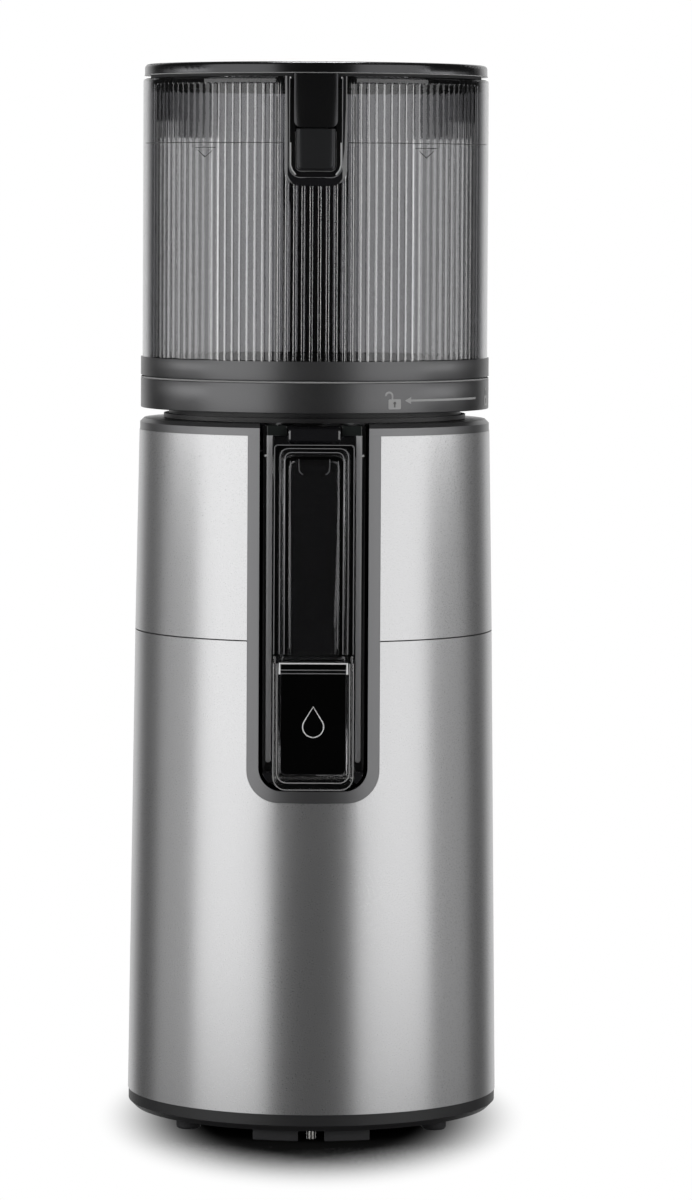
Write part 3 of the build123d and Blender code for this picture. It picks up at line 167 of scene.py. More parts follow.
def moulded(name, colour, sheen, grain_size, grain_depth, metallic=0.0):
    """Moulded plastic: a spark-eroded grain, a slow drift in sheen and a little wear in the colour."""
    r = material(name)
    drift = r.grain(38 * MM, 3)
    fine = r.grain(grain_size, 2)
    dark = tuple(c * 0.86 for c in colour)
    light = tuple(min(1, c * 1.12) for c in colour)
    r.shade(
        Base_Color=r.blend(drift * 0.6 + fine * 0.4, dark, light),
        Roughness=(drift - 0.5) * 0.10 + (fine - 0.5) * 0.06 + sheen,
        Metallic=metallic,
        Normal=r.bump(fine, grain_depth),
    )
    return r.owner


def metal(name, colour, sheen, brush_size, brush_depth, metallic=1.0):
    """Worked metal: fine marks and patches of duller surface."""
    r = material(name)
    patch = r.grain(9 * MM, 4, 0.6)
    marks = r.grain(brush_size, 3)
    dark = tuple(c * 0.8 for c in colour)
    r.shade(
        Base_Color=r.blend(patch, dark, colour),
        Metallic=metallic,
        Roughness=(patch - 0.5) * 0.16 + (marks - 0.5) * 0.08 + sheen,
        Normal=r.bump(marks, brush_depth),
    )
    return r.owner


def satin_lacquer(name, colour, sheen):
    """Metallic lacquer: bright flake under a satin top coat, with a faint orange peel."""
    r = material(name)
    flake = r.cells(0.42 * MM)
    speck = r.grain(0.30 * MM, 1)
    peel = r.grain(2.4 * MM, 2)
    drift = r.grain(60 * MM, 2)
    dark = tuple(c * 0.90 for c in colour)
    light = tuple(min(1, c * 1.10) for c in colour)
    r.shade(
        Base_Color=r.blend(speck * 1.6 - 0.3, dark, light),
        Metallic=0.85,
        Roughness=(speck - 0.5) * 0.16 + (drift - 0.5) * 0.03 + sheen,
        Normal=r.bump(flake * 0.5 + peel * 0.5, 0.006 * MM),
    )
    return r.owner


def tinted_glassy(name, colour, sheen, index=1.49):
    """Clear or smoked plastic with the odd fine rub mark."""
    r = material(name)
    rubbed = r.grain(14 * MM, 5, 0.65)
    r.shade(
        Base_Color=colour,
        Transmission_Weight=1.0,
        IOR=index,
        Roughness=rubbed * 0.03 + sheen,
        Specular_IOR_Level=0.5,
    )
    return r.owner


def fluted_glassy(name, colour, sheen, index):
    """Smoked wall: its ribs have a polished skin that glints more than the flats between them.

    side runs from 0 at front and rear to 1 at +X and -X. The glint is weak in the middle and ends before the
    sides, where the tint is a little darker: painted shade for the wall's darker sides.
    """
    r = material(name)
    rubbed = r.grain(14 * MM, 5, 0.65)
    x, y, z = r.along("X"), r.along("Y"), r.along("Z")
    radius = (x * x + y * y) ** 0.5
    side = (x * x) ** 0.5 / radius
    glint_from, glint_to, painted_shade_from = 0.14, 0.62, 0.55
    off_middle = ((side - glint_from) / 0.1).clamped()
    facing = ((glint_to - side) / 0.06).clamped() * (off_middle * 0.75 + 0.25)
    proud = ((radius - (WALL_RADIUS - RIB_DEPTH * 0.92)) / (RIB_DEPTH * 0.2)).clamped()
    below_rim = ((RIB_TOP - z) / (0.2 * MM)).clamped()
    r.shade(
        # the tint darkens towards +X and -X as painted shade
        Base_Color=r.blend((side - painted_shade_from) / 0.1, colour, tuple(c * 0.78 for c in colour)),
        Transmission_Weight=1.0,
        IOR=index,
        Roughness=rubbed * 0.03 + sheen,
        Specular_IOR_Level=0.5,
        Coat_Weight=proud * below_rim * facing,
        Coat_IOR=2.5,
        Coat_Roughness=0.05,
    )
    return r.owner


def gloss(name, colour, sheen, index):
    """Polished black plastic with a very slight wave and a trace of dust."""
    r = material(name)
    wave = r.grain(22 * MM, 1)
    dust = r.grain(0.5 * MM, 4, 0.7)
    r.shade(
        Base_Color=r.blend(dust, colour, tuple(c * 1.5 for c in colour)),
        Roughness=dust * 0.05 + sheen,
        Normal=r.bump(wave, 0.02 * MM),
        IOR=index,
    )
    return r.owner


def rail_finish(colour, tab_foot):
    """Grey satin rails whose tabs, above the given height, are smoky and polished."""
    r = material("rail_grey")
    fine = r.grain(0.4 * MM, 2)
    tab = ((r.along("Z") - tab_foot) / (0.2 * MM)).clamped()
    r.shade(
        Base_Color=r.blend(tab, colour, (0.02, 0.023, 0.022)),
        Roughness=fine * 0.06 + 0.36 - tab * 0.30,
        Metallic=0.2,
        Normal=r.bump(fine, 0.004 * MM),
    )
    return r.owner


def rubber(name, colour):
    """Matt rubber with a fine grain and a pale bloom."""
    r = material(name)
    fine = r.grain(0.7 * MM, 3, 0.6)
    bloom = r.grain(16 * MM, 4)
    r.shade(
        Base_Color=r.blend(bloom, colour, tuple(c * 1.5 for c in colour)),
        Roughness=fine * 0.12 + 0.62,
        Normal=r.bump(fine, 0.04 * MM),
        Specular_IOR_Level=0.35,
    )
    return r.owner


def board(name):
    """Green lacquered board with copper tracks."""
    r = material(name)
    tracks = r.add("ShaderNodeTexBrick", None, {
        "Vector": r.place(), "Scale": 120.0, "Color1": (0.01, 0.10, 0.04), "Color2": (0.02, 0.16, 0.07),
        "Mortar": (0.30, 0.22, 0.06), "Mortar Size": 0.012}, output="Color")
    r.shade(Base_Color=tracks, Roughness=r.grain(3 * MM) * 0.1 + 0.35, Coat_Weight=0.4)
    return r.owner


def laminations(name):
    """Stacked motor sheets: fine rings across the axis."""
    r = material(name)
    turn = r.along("Z") * (2 * math.pi / (0.6 * MM))
    sheets = turn.maths("SINE", turn)
    r.shade(
        Base_Color=r.blend(sheets * 0.5 + 0.5, (0.20, 0.20, 0.21), (0.38, 0.38, 0.40)),
        Metallic=1.0,
        Roughness=r.grain(2 * MM) * 0.2 + 0.35,
        Normal=r.bump(sheets, 0.05 * MM),
    )
    return r.owner


FINISHES = {
    "lid_grey": moulded("lid_grey", (0.055, 0.055, 0.057), 0.22, 0.35 * MM, 0.003 * MM, 0.92),
    "smoked_clear": fluted_glassy("smoked_clear", (0.33, 0.33, 0.34), 0.01, 1.58),
    "gloss_black": gloss("gloss_black", (0.006, 0.006, 0.007), 0.05, 1.9),
    "dark_textured": moulded("dark_textured", (0.105, 0.105, 0.107), 0.34, 0.55 * MM, 0.03 * MM, 0.85),
    "dark_smooth": moulded("dark_smooth", (0.105, 0.105, 0.107), 0.36, 0.45 * MM, 0.01 * MM, 0.75),
    "button_grey": moulded("button_grey", (0.045, 0.046, 0.048), 0.26, 0.35 * MM, 0.004 * MM, 0.6),
    "silver_satin": satin_lacquer("silver_satin", (0.50, 0.50, 0.505), 0.30),
    "bezel_grey": moulded("bezel_grey", (0.16, 0.16, 0.163), 0.34, 0.35 * MM, 0.003 * MM, 0.8),
    "clear": tinted_glassy("clear", (0.93, 0.93, 0.94), 0.01),
    "bowl_clear": tinted_glassy("bowl_clear", (0.60, 0.60, 0.61), 0.03),
    "black_rubber": rubber("black_rubber", (0.045, 0.045, 0.046)),
    "strainer_grey": moulded("strainer_grey", (0.10, 0.10, 0.105), 0.40, 0.5 * MM, 0.01 * MM),
    "auger_grey": moulded("auger_grey", (0.16, 0.16, 0.165), 0.36, 0.6 * MM, 0.01 * MM),
    "steel": metal("steel", (0.58, 0.57, 0.55), 0.26, 0.4 * MM, 0.01 * MM),
    "laminated_steel": laminations("laminated_steel"),
    "alloy": metal("alloy", (0.55, 0.56, 0.57), 0.48, 0.9 * MM, 0.05 * MM),
    "base_black": moulded("base_black", (0.020, 0.020, 0.021), 0.45, 0.6 * MM, 0.03 * MM),
    "foot_rubber": rubber("foot_rubber", (0.035, 0.035, 0.037)),
    "board_green": board("board_green"),
}
# Finishes of the fine lines. The grey one serves printed signs and painted highlights, the light one the
# droplet and painted highlights, the white one a painted highlight, and the edge grey one edge lines and
# painted highlights.
MARK_AND_HIGHLIGHT_GREY = moulded("mark_and_highlight_grey", (0.36, 0.36, 0.36), 0.45, 0.3 * MM, 0.002 * MM)
MARK_DARK = moulded("mark_dark", (0.07, 0.07, 0.07), 0.45, 0.3 * MM, 0.002 * MM)
MARK_AND_HIGHLIGHT_LIGHT = moulded("mark_and_highlight_light", (0.80, 0.80, 0.80), 0.35, 0.3 * MM, 0.002 * MM)
PAINTED_HIGHLIGHT_WHITE = moulded("painted_highlight_white", (0.96, 0.96, 0.96), 0.20, 0.3 * MM, 0.002 * MM)
EDGE_AND_HIGHLIGHT_GREY = moulded("edge_and_highlight_grey", (0.22, 0.22, 0.225), 0.25, 0.3 * MM, 0.002 * MM)
RAIL_TAB_FOOT = 289.6 * MM
RAIL_GREY = rail_finish((0.42, 0.42, 0.425), RAIL_TAB_FOOT)
NODE_SLOT = {part["node"]: part["material_slot"] for part in frame["record"]["subparts"]}
BODIES = frame["record"]["behaviour"]["bodies"]
NODE_BODY = {node: body for body, nodes in BODIES.items() for node in nodes}


# ---------------------------------------------------------------- mesh making
def finished(name, bm, slot, body, smooth_angle=35):
    """Turns a bmesh into a piece that rides on a body and takes a slot's finish."""
    bmesh.ops.remove_doubles(bm, verts=bm.verts, dist=1e-7)
    bmesh.ops.recalc_face_normals(bm, faces=bm.faces)
    mesh = bpy.data.meshes.new(name)
    bm.to_mesh(mesh)
    bm.free()
    mesh.materials.append(FINISHES.get(slot, slot))
    for face in mesh.polygons:
        face.use_smooth = True
    mesh.set_sharp_from_angle(angle=math.radians(smooth_angle))
    piece = bpy.data.objects.new(name, mesh)
    bpy.context.collection.objects.link(piece)
    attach(piece, body)
    return piece


def softened(node, edge, angle=40, segments=2):
    """A copy of a CAD node with its corners rounded, shown in the node's place."""
    source = frame["nodes"][node]
    bm = bmesh.new()
    bm.from_mesh(source.data)
    bmesh.ops.remove_doubles(bm, verts=bm.verts, dist=2e-6)
    bmesh.ops.dissolve_limit(
        bm, angle_limit=math.radians(0.6), verts=bm.verts, edges=bm.edges, use_dissolve_boundaries=False)
    sharp = [e for e in bm.edges if len(e.link_faces) == 2 and e.calc_face_angle(0) > math.radians(angle)]
    bmesh.ops.bevel(
        bm, geom=sharp, offset=edge, offset_type="OFFSET", segments=segments, profile=0.5,
        affect="EDGES", clamp_overlap=True, material=-1)
    piece = finished(node + "_rounded", bm, NODE_SLOT[node], NODE_BODY[node])
    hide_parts(node)
    return piece


# ---------------------------------------------------------------- outlines in a front view, as x and z
def arc(x, z, radius, start, stop, steps=10):
    """Points of an arc, with angles in degrees from +X towards +Z."""
    turns = [math.radians(start + (stop - start) * i / steps) for i in range(steps + 1)]
    return [(x + radius * math.cos(a), z + radius * math.sin(a)) for a in turns]


def trough(half_width, low, high, corner):
    """A U of straight sides and rounded lower corners."""
    right = arc(half_width - corner, low + corner, corner, 0, -90, 6)
    left = arc(corner - half_width, low + corner, corner, 270, 180, 6)
    return [(half_width, high)] + right + left + [(-half_width, high)]


def gate(half_width, low, high, corner):
    """An upside-down U."""
    return [(x, low + high - z) for x, z in trough(half_width, low, high, corner)]


def on_plane(points, y):
    """Puts front-view points on an upright plane."""
    return [(x, y, z) for x, z in points]


def on_drum(points, radius, azimuth=0.0):
    """Puts front-view points on an upright cylinder. Azimuth 0 faces -Y and 90 faces +X."""
    wrapped = []
    for x, z in points:
        a = math.radians(azimuth) + x / radius
        wrapped.append((radius * math.sin(a), -radius * math.cos(a), z))
    return wrapped


def hoop(radius, z, steps=180):
    """Points of a level circle round the axis."""
    turns = [i * math.tau / steps for i in range(steps)]
    return [(radius * math.cos(a), radius * math.sin(a), z) for a in turns]


# ---------------------------------------------------------------- hopper wall with its ribs
PEAKED_FROM, PEAKED_WITHIN = 0.5, 0.1
SMOOTH_WITHIN = 0.05
RIB_FOOT_RAMP, RIB_TOP_RAMP = 0.3 * MM, 0.5 * MM
RIM_EDGE = 1.0 * MM
LATCH_HALF_WIDTH, LATCH_FOOT, LATCH_CORNER, LATCH_SEAT = 12.55 * MM, 391.4 * MM, 6.6 * MM, 0.1 * MM
HINGE_HALF_WIDTH, HINGE_FOOT = 13.1 * MM, 425.9 * MM
NOTCH_TOP = 440 * MM


def step(value, start, width):
    """0 below the start, 1 past the width, and a straight ramp between."""
    return min(1.0, max(0.0, (value - start) / width))


def rib_height(turn, side):
    """How far a rib stands out from the flat, from 0 to 1, by its place across one pitch (-0.5 to 0.5).

    The ribs are flat-topped at front and rear and peaked towards the sides, where side 1 is +X or -X. Past
    SMOOTH_FROM the wall is smooth, at the height of the ribs' tops.
    """
    across = abs(turn) * 2 * math.pi * WALL_RADIUS / RIB_COUNT
    flat_topped = 0.5 + 0.5 * math.cos(math.pi * step(across, RIB_WIDTH / 2 - RIB_EDGE, RIB_EDGE))
    peaked = 1 - step(across, 0, RIB_WIDTH / 2)
    share = step(side, PEAKED_FROM, PEAKED_WITHIN)
    ribbed = 1 - step(side, SMOOTH_FROM - SMOOTH_WITHIN, SMOOTH_WITHIN)
    return 1 - (1 - flat_topped * (1 - share) - peaked * share) * ribbed


def rib_section(bm, pitch):
    """One pitch of the wall's plan: a rib on the outside and three points on the inside."""
    edge_stops = [0.12 * MM] + [RIB_WIDTH / 2 - RIB_EDGE * (1 - i / 5) for i in range(6)]
    rib_stops = [s / WALL_RADIUS / pitch for s in edge_stops]
    outer_stops = [-0.5] + [-t for t in rib_stops[::-1]] + rib_stops + [0.5]
    inner_stops = [0.5, 0, -0.5]
    corners = []
    for radius, stops in ((WALL_FOOT_RADIUS, outer_stops), (WALL_INNER_RADIUS, inner_stops)):
        corners += [(radius * math.sin(t * pitch), radius * math.cos(t * pitch), 0) for t in stops]
    return bm.faces.new([bm.verts.new(corner) for corner in corners])


def hopper_glass():
    """The smoked wall: one pitch of its plan, spun round and drawn up past the ribs to the rim."""
    bm = bmesh.new()
    pitch = 2 * math.pi / RIB_COUNT
    section = rib_section(bm, pitch)
    bmesh.ops.spin(
        bm, geom=[section, *section.edges, *section.verts], cent=(0, 0, 0), axis=(0, 0, 1),
        angle=2 * math.pi * (RIB_COUNT - 1) / RIB_COUNT, steps=RIB_COUNT - 1, use_duplicate=True)
    bmesh.ops.remove_doubles(bm, verts=bm.verts, dist=1e-6)
    bmesh.ops.translate(bm, verts=bm.verts, vec=(0, 0, WALL_FOOT))
    # each level: its height, whether the ribs show there, and the wall's outer radius
    levels = [
        (RING_TOP, 0, WALL_FOOT_RADIUS),
        (RING_TOP, 0, WALL_RADIUS),
        (RING_TOP + RIB_FOOT_RAMP, 1, WALL_RADIUS),
        (RIB_TOP, 1, WALL_RADIUS),
        (RIB_TOP + RIB_TOP_RAMP, 0, WALL_RADIUS),
        (WALL_TOP - RIM_EDGE, 0, WALL_RADIUS),
        (WALL_TOP - RIM_EDGE * 0.3, 0, WALL_RADIUS - RIM_EDGE * 0.3),
        (WALL_TOP, 0, WALL_RADIUS - RIM_EDGE),
    ]
    top = bm.faces[:]
    between = (WALL_INNER_RADIUS + WALL_FOOT_RADIUS) / 2
    for level, ribbed, outer_radius in levels:
        region = {*top, *(e for f in top for e in f.edges), *(v for f in top for v in f.verts)}
        grown = bmesh.ops.extrude_face_region(bm, geom=list(region))["geom"]
        top = [g for g in grown if isinstance(g, bmesh.types.BMFace)]
        for v in {v for f in top for v in f.verts}:
            turn = math.atan2(v.co.x, v.co.y) / pitch
            radius = math.hypot(v.co.x, v.co.y)
            new = radius
            if radius > between:
                height = rib_height(turn - round(turn), abs(v.co.x) / radius)
                new = outer_radius - ribbed * RIB_DEPTH * (1 - height)
            v.co = Vector((v.co.x * new / radius, v.co.y * new / radius, level))
    return finished("hopper_glass", bm, "smoked_clear", "hopper")


def cutter(points, near, far):
    """A prism along Y on front-view points, to cut with."""
    bm = bmesh.new()
    face = bm.faces.new([bm.verts.new((x, near, z)) for x, z in points])
    grown = bmesh.ops.extrude_face_region(bm, geom=[face])["geom"]
    pushed = [g for g in grown if isinstance(g, bmesh.types.BMVert)]
    bmesh.ops.translate(bm, verts=pushed, vec=(0, far - near, 0))
    bmesh.ops.recalc_face_normals(bm, faces=bm.faces)
    mesh = bpy.data.meshes.new("cutter")
    bm.to_mesh(mesh)
    bm.free()
    tool = bpy.data.objects.new("cutter", mesh)
    bpy.context.collection.objects.link(tool)
    return tool


def cut(piece, *tools):
    """Takes the cutters out of a piece, and deletes them."""
    for tool in tools:
        opening = piece.modifiers.new("cut", "BOOLEAN")
        opening.operation, opening.solver, opening.object = "DIFFERENCE", "EXACT", tool
    shape = bpy.data.meshes.new_from_object(piece.evaluated_get(bpy.context.evaluated_depsgraph_get()))
    piece.modifiers.clear()
    piece.data = shape
    for tool in tools:
        bpy.data.objects.remove(tool)


def keep_bands_upright(piece):
    """Marks the level edges sharp, so that the flat bands between them shade as truly upright."""
    points = piece.data.vertices
    for line in piece.data.edges:
        foot, head = (points[i].co.z for i in line.vertices)
        if abs(foot - head) < 1e-6:
            line.use_edge_sharp = True


def hopper_wall():
    """The wall with its openings for the latch frame in front and the lid's hinge behind."""
    wall = hopper_glass()
    latch_opening = trough(
        LATCH_HALF_WIDTH + LATCH_SEAT, LATCH_FOOT - LATCH_SEAT, NOTCH_TOP, LATCH_CORNER)
    hinge_opening = [
        (HINGE_HALF_WIDTH, HINGE_FOOT), (HINGE_HALF_WIDTH, NOTCH_TOP),
        (-HINGE_HALF_WIDTH, NOTCH_TOP), (-HINGE_HALF_WIDTH, HINGE_FOOT)]
    cut(wall, cutter(latch_opening, -90 * MM, -50 * MM), cutter(hinge_opening, 55 * MM, 90 * MM))
    keep_bands_upright(wall)
    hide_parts("hopper_wall")


hopper_wall()

# ---------------------------------------------------------------- rounded copies of the outer pieces
EDGES = {
    "lid_plate": 0.35 * MM, "lid_tongue": 0.15 * MM, "latch_frame": 0.15 * MM, "release_button": 0.2 * MM,
    "hopper_ring": 0.35 * MM, "hopper_collar": 0.45 * MM, "juice_cap": 0.5 * MM, "juice_seal": 0.3 * MM,
    "hook_block": 1.1 * MM, "guide_rails": 0.4 * MM, "chamber_front": 0.4 * MM, "spout_cover": 0.4 * MM,
    "front_pads": 0.5 * MM, "round_feet": 0.4 * MM,
}
for node, edge in EDGES.items():
    rounded = softened(node, edge)
    if node == "guide_rails":
        rounded.data.materials[0] = RAIL_GREY

# ---------------------------------------------------------------- finishes of the nodes that stay as they are
for node, shape in frame["nodes"].items():
    for place in shape.material_slots:
        # the chamber's rim takes the near-black base finish as painted shade for the neck, which lies in
        # shade under the collar
        place.material = FINISHES["base_black" if node == "chamber_rim" else NODE_SLOT[node]]


# ---------------------------------------------------------------- fine lines, painted highlights and printed signs
def bead(name, paths, thickness, finish, body):
    """Thin raised lines: each path is a list of points and whether it closes on itself."""
    line = bpy.data.curves.new(name, "CURVE")
    line.dimensions = "3D"
    line.bevel_depth = thickness / 2
    line.bevel_resolution = 1
    line.use_fill_caps = True
    for points, closed in paths:
        spline = line.splines.new("POLY")
        spline.points.add(len(points) - 1)
        for point, place in zip(spline.points, points):
            point.co = (*place, 1)
        spline.use_cyclic_u = closed
    helper = bpy.data.objects.new(name, line)
    bpy.context.collection.objects.link(helper)
    mesh = bpy.data.meshes.new_from_object(helper.evaluated_get(bpy.context.evaluated_depsgraph_get()))
    bm = bmesh.new()
    bm.from_mesh(mesh)
    bpy.data.objects.remove(helper)
    bpy.data.meshes.remove(mesh)
    return finished(name, bm, finish, body)


def badge(name, shapes, radius, azimuth, finish, body):
    """Flat printed shapes, each an outline of front-view points, laid on an upright cylinder."""
    slice_width, thick, sunk = 1.2 * MM, 0.1 * MM, 0.04 * MM
    bm = bmesh.new()
    for shape in shapes:
        bm.faces.new([bm.verts.new(place) for place in on_plane(shape, 0)])
    slices = int(max(abs(v.co.x) for v in bm.verts) / slice_width)
    for i in range(-slices, slices + 1):
        bmesh.ops.bisect_plane(
            bm, geom=[*bm.verts, *bm.edges, *bm.faces], plane_co=(i * slice_width, 0, 0), plane_no=(1, 0, 0))
    grown = bmesh.ops.extrude_face_region(bm, geom=[*bm.verts, *bm.edges, *bm.faces])["geom"]
    raised = [g for g in grown if isinstance(g, bmesh.types.BMVert)]
    bmesh.ops.translate(bm, verts=raised, vec=(0, -thick, 0))
    for v in bm.verts:
        a = math.radians(azimuth) + v.co.x / radius
        reach = radius - sunk - v.co.y
        v.co = (reach * math.sin(a), -reach * math.cos(a), v.co.z)
    return finished(name, bm, finish, body)


def padlock(open_shackle):
    """Outlines of a padlock centred on its body: the body and the shackle."""
    half, top, bottom, corner = 2.85 * MM, 304.6 * MM, 300.5 * MM, 0.5 * MM
    corners = [
        (half - corner, top - corner, 0), (corner - half, top - corner, 90),
        (corner - half, bottom + corner, 180), (half - corner, bottom + corner, 270)]
    body = [point for x, z, start in corners for point in arc(x, z, corner, start, start + 90, 3)]
    centre = -2.6 * MM if open_shackle else 0.0
    bow_radius, bow_width, bow_foot = 1.9 * MM, 0.75 * MM, top + 1.3 * MM
    bow = arc(centre, bow_foot, bow_radius, 0, 180) + arc(centre, bow_foot, bow_radius - bow_width, 180, 0)
    outer, inner = centre + bow_radius - 0.01 * MM, centre + bow_radius - bow_width
    high, low = bow_foot + 0.05 * MM, top - 0.2 * MM
    right_leg = [(outer, high), (outer, low), (inner, low), (inner, high)]
    if open_shackle:
        return [body, bow, right_leg]
    return [body, bow, right_leg, [(-x, z) for x, z in right_leg]]


def keyhole():
    """A padlock's keyhole, centred on its body."""
    eye_height, eye_radius, slot_half, slot_foot = 303.0 * MM, 0.62 * MM, 0.3 * MM, 301.3 * MM
    return [arc(0, eye_height, eye_radius, -60, 240, 12) + [(-slot_half, slot_foot), (slot_half, slot_foot)]]


def droplet():
    """Outline of a drop: a round foot and two straight sides to a point."""
    radius, middle, tip = 4.3 * MM, 171.1 * MM, 179.3 * MM
    tilt = math.degrees(math.asin(radius / (tip - middle)))
    return [(0, tip)] + arc(0, middle, radius, tilt, -180 - tilt, 22)


def collar_signs():
    """An open padlock, a closed padlock and the arrow between them, printed on the collar."""
    open_azimuth, closed_azimuth, arrow_start, arrow_end = 26.6, 77.6, 30.4, 66.0
    print_lift = 0.05 * MM
    for name, azimuth, is_open in (
            ("open_padlock", open_azimuth, True), ("closed_padlock", closed_azimuth, False)):
        badge(name, padlock(is_open), COLLAR_RADIUS, azimuth, MARK_AND_HIGHLIGHT_GREY, "hopper")
        badge(name + "_keyhole", keyhole(), COLLAR_RADIUS + print_lift, azimuth, MARK_DARK, "hopper")
    tail = math.radians(arrow_end - arrow_start) * COLLAR_RADIUS / 2
    middle, shaft, head, barb = 304.0 * MM, 0.42 * MM, 2.9 * MM, 1.45 * MM
    neck = head - tail
    arrow = [
        (-tail, middle), (neck, middle - barb), (neck, middle - shaft), (tail, middle - shaft),
        (tail, middle + shaft), (neck, middle + shaft), (neck, middle + barb)]
    badge("lock_arrow", [arrow], COLLAR_RADIUS, (arrow_start + arrow_end) / 2, MARK_AND_HIGHLIGHT_GREY, "hopper")


def fill_marks():
    """The fill line round the wall, and a pointer under it on each side."""
    ink, line_sunk, pointer_azimuth = 0.34 * MM, 0.1 * MM, 38.8
    line_start, line_end, line_steps = math.radians(10.5), math.radians(78), 40
    pointer_half, pointer_top, pointer_tip = 3.9 * MM, 405.9 * MM, 403.0 * MM
    bar_half, bar_height = 5.5 * MM, 407.0 * MM
    turns = [line_start + (line_end - line_start) * i / line_steps for i in range(line_steps + 1)]
    pointer = [(-pointer_half, pointer_top), (pointer_half, pointer_top), (0, pointer_tip)]
    bar = [(-bar_half, bar_height), (bar_half, bar_height)]
    for side, name in ((-1, "left"), (1, "right")):
        line = on_drum([(side * a * WALL_RADIUS, FILL_LINE) for a in turns], WALL_RADIUS - line_sunk)
        bead("fill_line_" + name, [(line, False)], ink, MARK_DARK, "hopper")
        azimuth = side * pointer_azimuth
        bead("fill_pointer_" + name, [
            (on_drum(pointer, WALL_RADIUS, azimuth), True), (on_drum(bar, WALL_RADIUS, azimuth), False),
        ], ink, MARK_DARK, "hopper")


def rim_painted_highlights():
    """Painted highlights: a light line in the groove over the collar, and one round the lid's edge."""
    groove_radius, groove_height, groove_line = COLLAR_RADIUS - 0.35 * MM, 311.5 * MM, 0.7 * MM
    lid_radius, lid_height, lid_line = 71.7 * MM, 437.4 * MM, 0.4 * MM
    # light grey beads that are painted highlights of the groove and the lid's edge
    bead("groove_painted_highlight", [(hoop(groove_radius, groove_height), True)], groove_line, MARK_AND_HIGHLIGHT_GREY, "hopper")
    bead("lid_edge_painted_highlight", [(hoop(lid_radius, lid_height), True)], lid_line, MARK_AND_HIGHLIGHT_GREY, "lid")


def cap_marks():
    """The juice cap's droplet, a raised outline whose light colour is partly a painted highlight, a white
    line along its top that is a painted highlight, its sills, and the double contour round them.
    """
    front, contour_top = -75.0 * MM, 197.0 * MM
    top_highlight_half, top_highlight_foot = 13.8 * MM, 192.6 * MM
    sill_half, sill_heights = 13.4 * MM, (194.3 * MM, 192.9 * MM)
    # the droplet's outline is raised; its light colour is partly a painted highlight
    bead("cap_droplet", [(on_plane(droplet(), front), True)], 0.5 * MM, MARK_AND_HIGHLIGHT_LIGHT, "cap")
    # a painted highlight: a white line along the cap's top edge
    top_highlight = [
        (-top_highlight_half, top_highlight_foot), (-top_highlight_half, contour_top), (top_highlight_half, contour_top), (top_highlight_half, top_highlight_foot)]
    bead("cap_top_painted_highlight", [(on_plane(top_highlight, front), False)], 0.9 * MM, PAINTED_HIGHLIGHT_WHITE, "cap")
    sills = [on_plane([(-sill_half, z), (sill_half, z)], front) for z in sill_heights]
    bead("cap_sills", [(sill, False) for sill in sills], 0.45 * MM, EDGE_AND_HIGHLIGHT_GREY, "cap")
    inner = trough(14.8 * MM, 148.1 * MM, contour_top, 4.0 * MM)
    outer = trough(16.3 * MM, 145.2 * MM, contour_top, 5.2 * MM)
    bead("cap_contour", [
        (on_plane(inner, front), False), (on_plane(outer, front + 0.2 * MM), False),
    ], 0.4 * MM, MARK_AND_HIGHLIGHT_GREY, "cap")


def cover_marks():
    """The spout cover's nested contours, its two ribs, and small hooks inside their tops, whose grey colour
    is a painted highlight.
    """
    front, foot = -72.5 * MM, 200.6 * MM
    contours = [
        gate(16.2 * MM, foot, 286.0 * MM, 1.2 * MM), gate(14.0 * MM, foot, 284.6 * MM, 3.4 * MM),
        gate(12.0 * MM, foot, 283.0 * MM, 2.6 * MM)]
    bead("cover_contours", [(on_plane(c, front), False) for c in contours], 0.36 * MM, EDGE_AND_HIGHLIGHT_GREY, "chamber")
    rib_x, rib_foot, rib_top = 9.8 * MM, 203 * MM, 279.5 * MM
    bead("cover_ribs", [
        (on_plane([(side * rib_x, rib_foot), (side * rib_x, rib_top)], front), False) for side in (-1, 1)
    ], 0.25 * MM, EDGE_AND_HIGHLIGHT_GREY, "chamber")
    # small hooks, coloured grey as painted highlights
    hook = [(6.3 * MM, 280.3 * MM)] + arc(4.0 * MM, 276.2 * MM, 2.2 * MM, 0, -75, 5)
    bead("hooks_painted_highlight", [
        (on_plane([(side * x, z) for x, z in hook], front + 0.4 * MM), False) for side in (-1, 1)
    ], 0.5 * MM, EDGE_AND_HIGHLIGHT_GREY, "chamber")


def rail_painted_glints():
    """A light dot on the outer side of each guide rail, a painted glint."""
    inner_end, outer_end, depth, height = 19.0 * MM, 20.3 * MM, -67.9 * MM, 281.5 * MM
    # light dots that are painted glints
    bead("rail_glint_dots", [
        ([(side * x, depth, height) for x in (inner_end, outer_end)], False) for side in (-1, 1)
    ], 1.0 * MM, MARK_AND_HIGHLIGHT_LIGHT, "chamber")


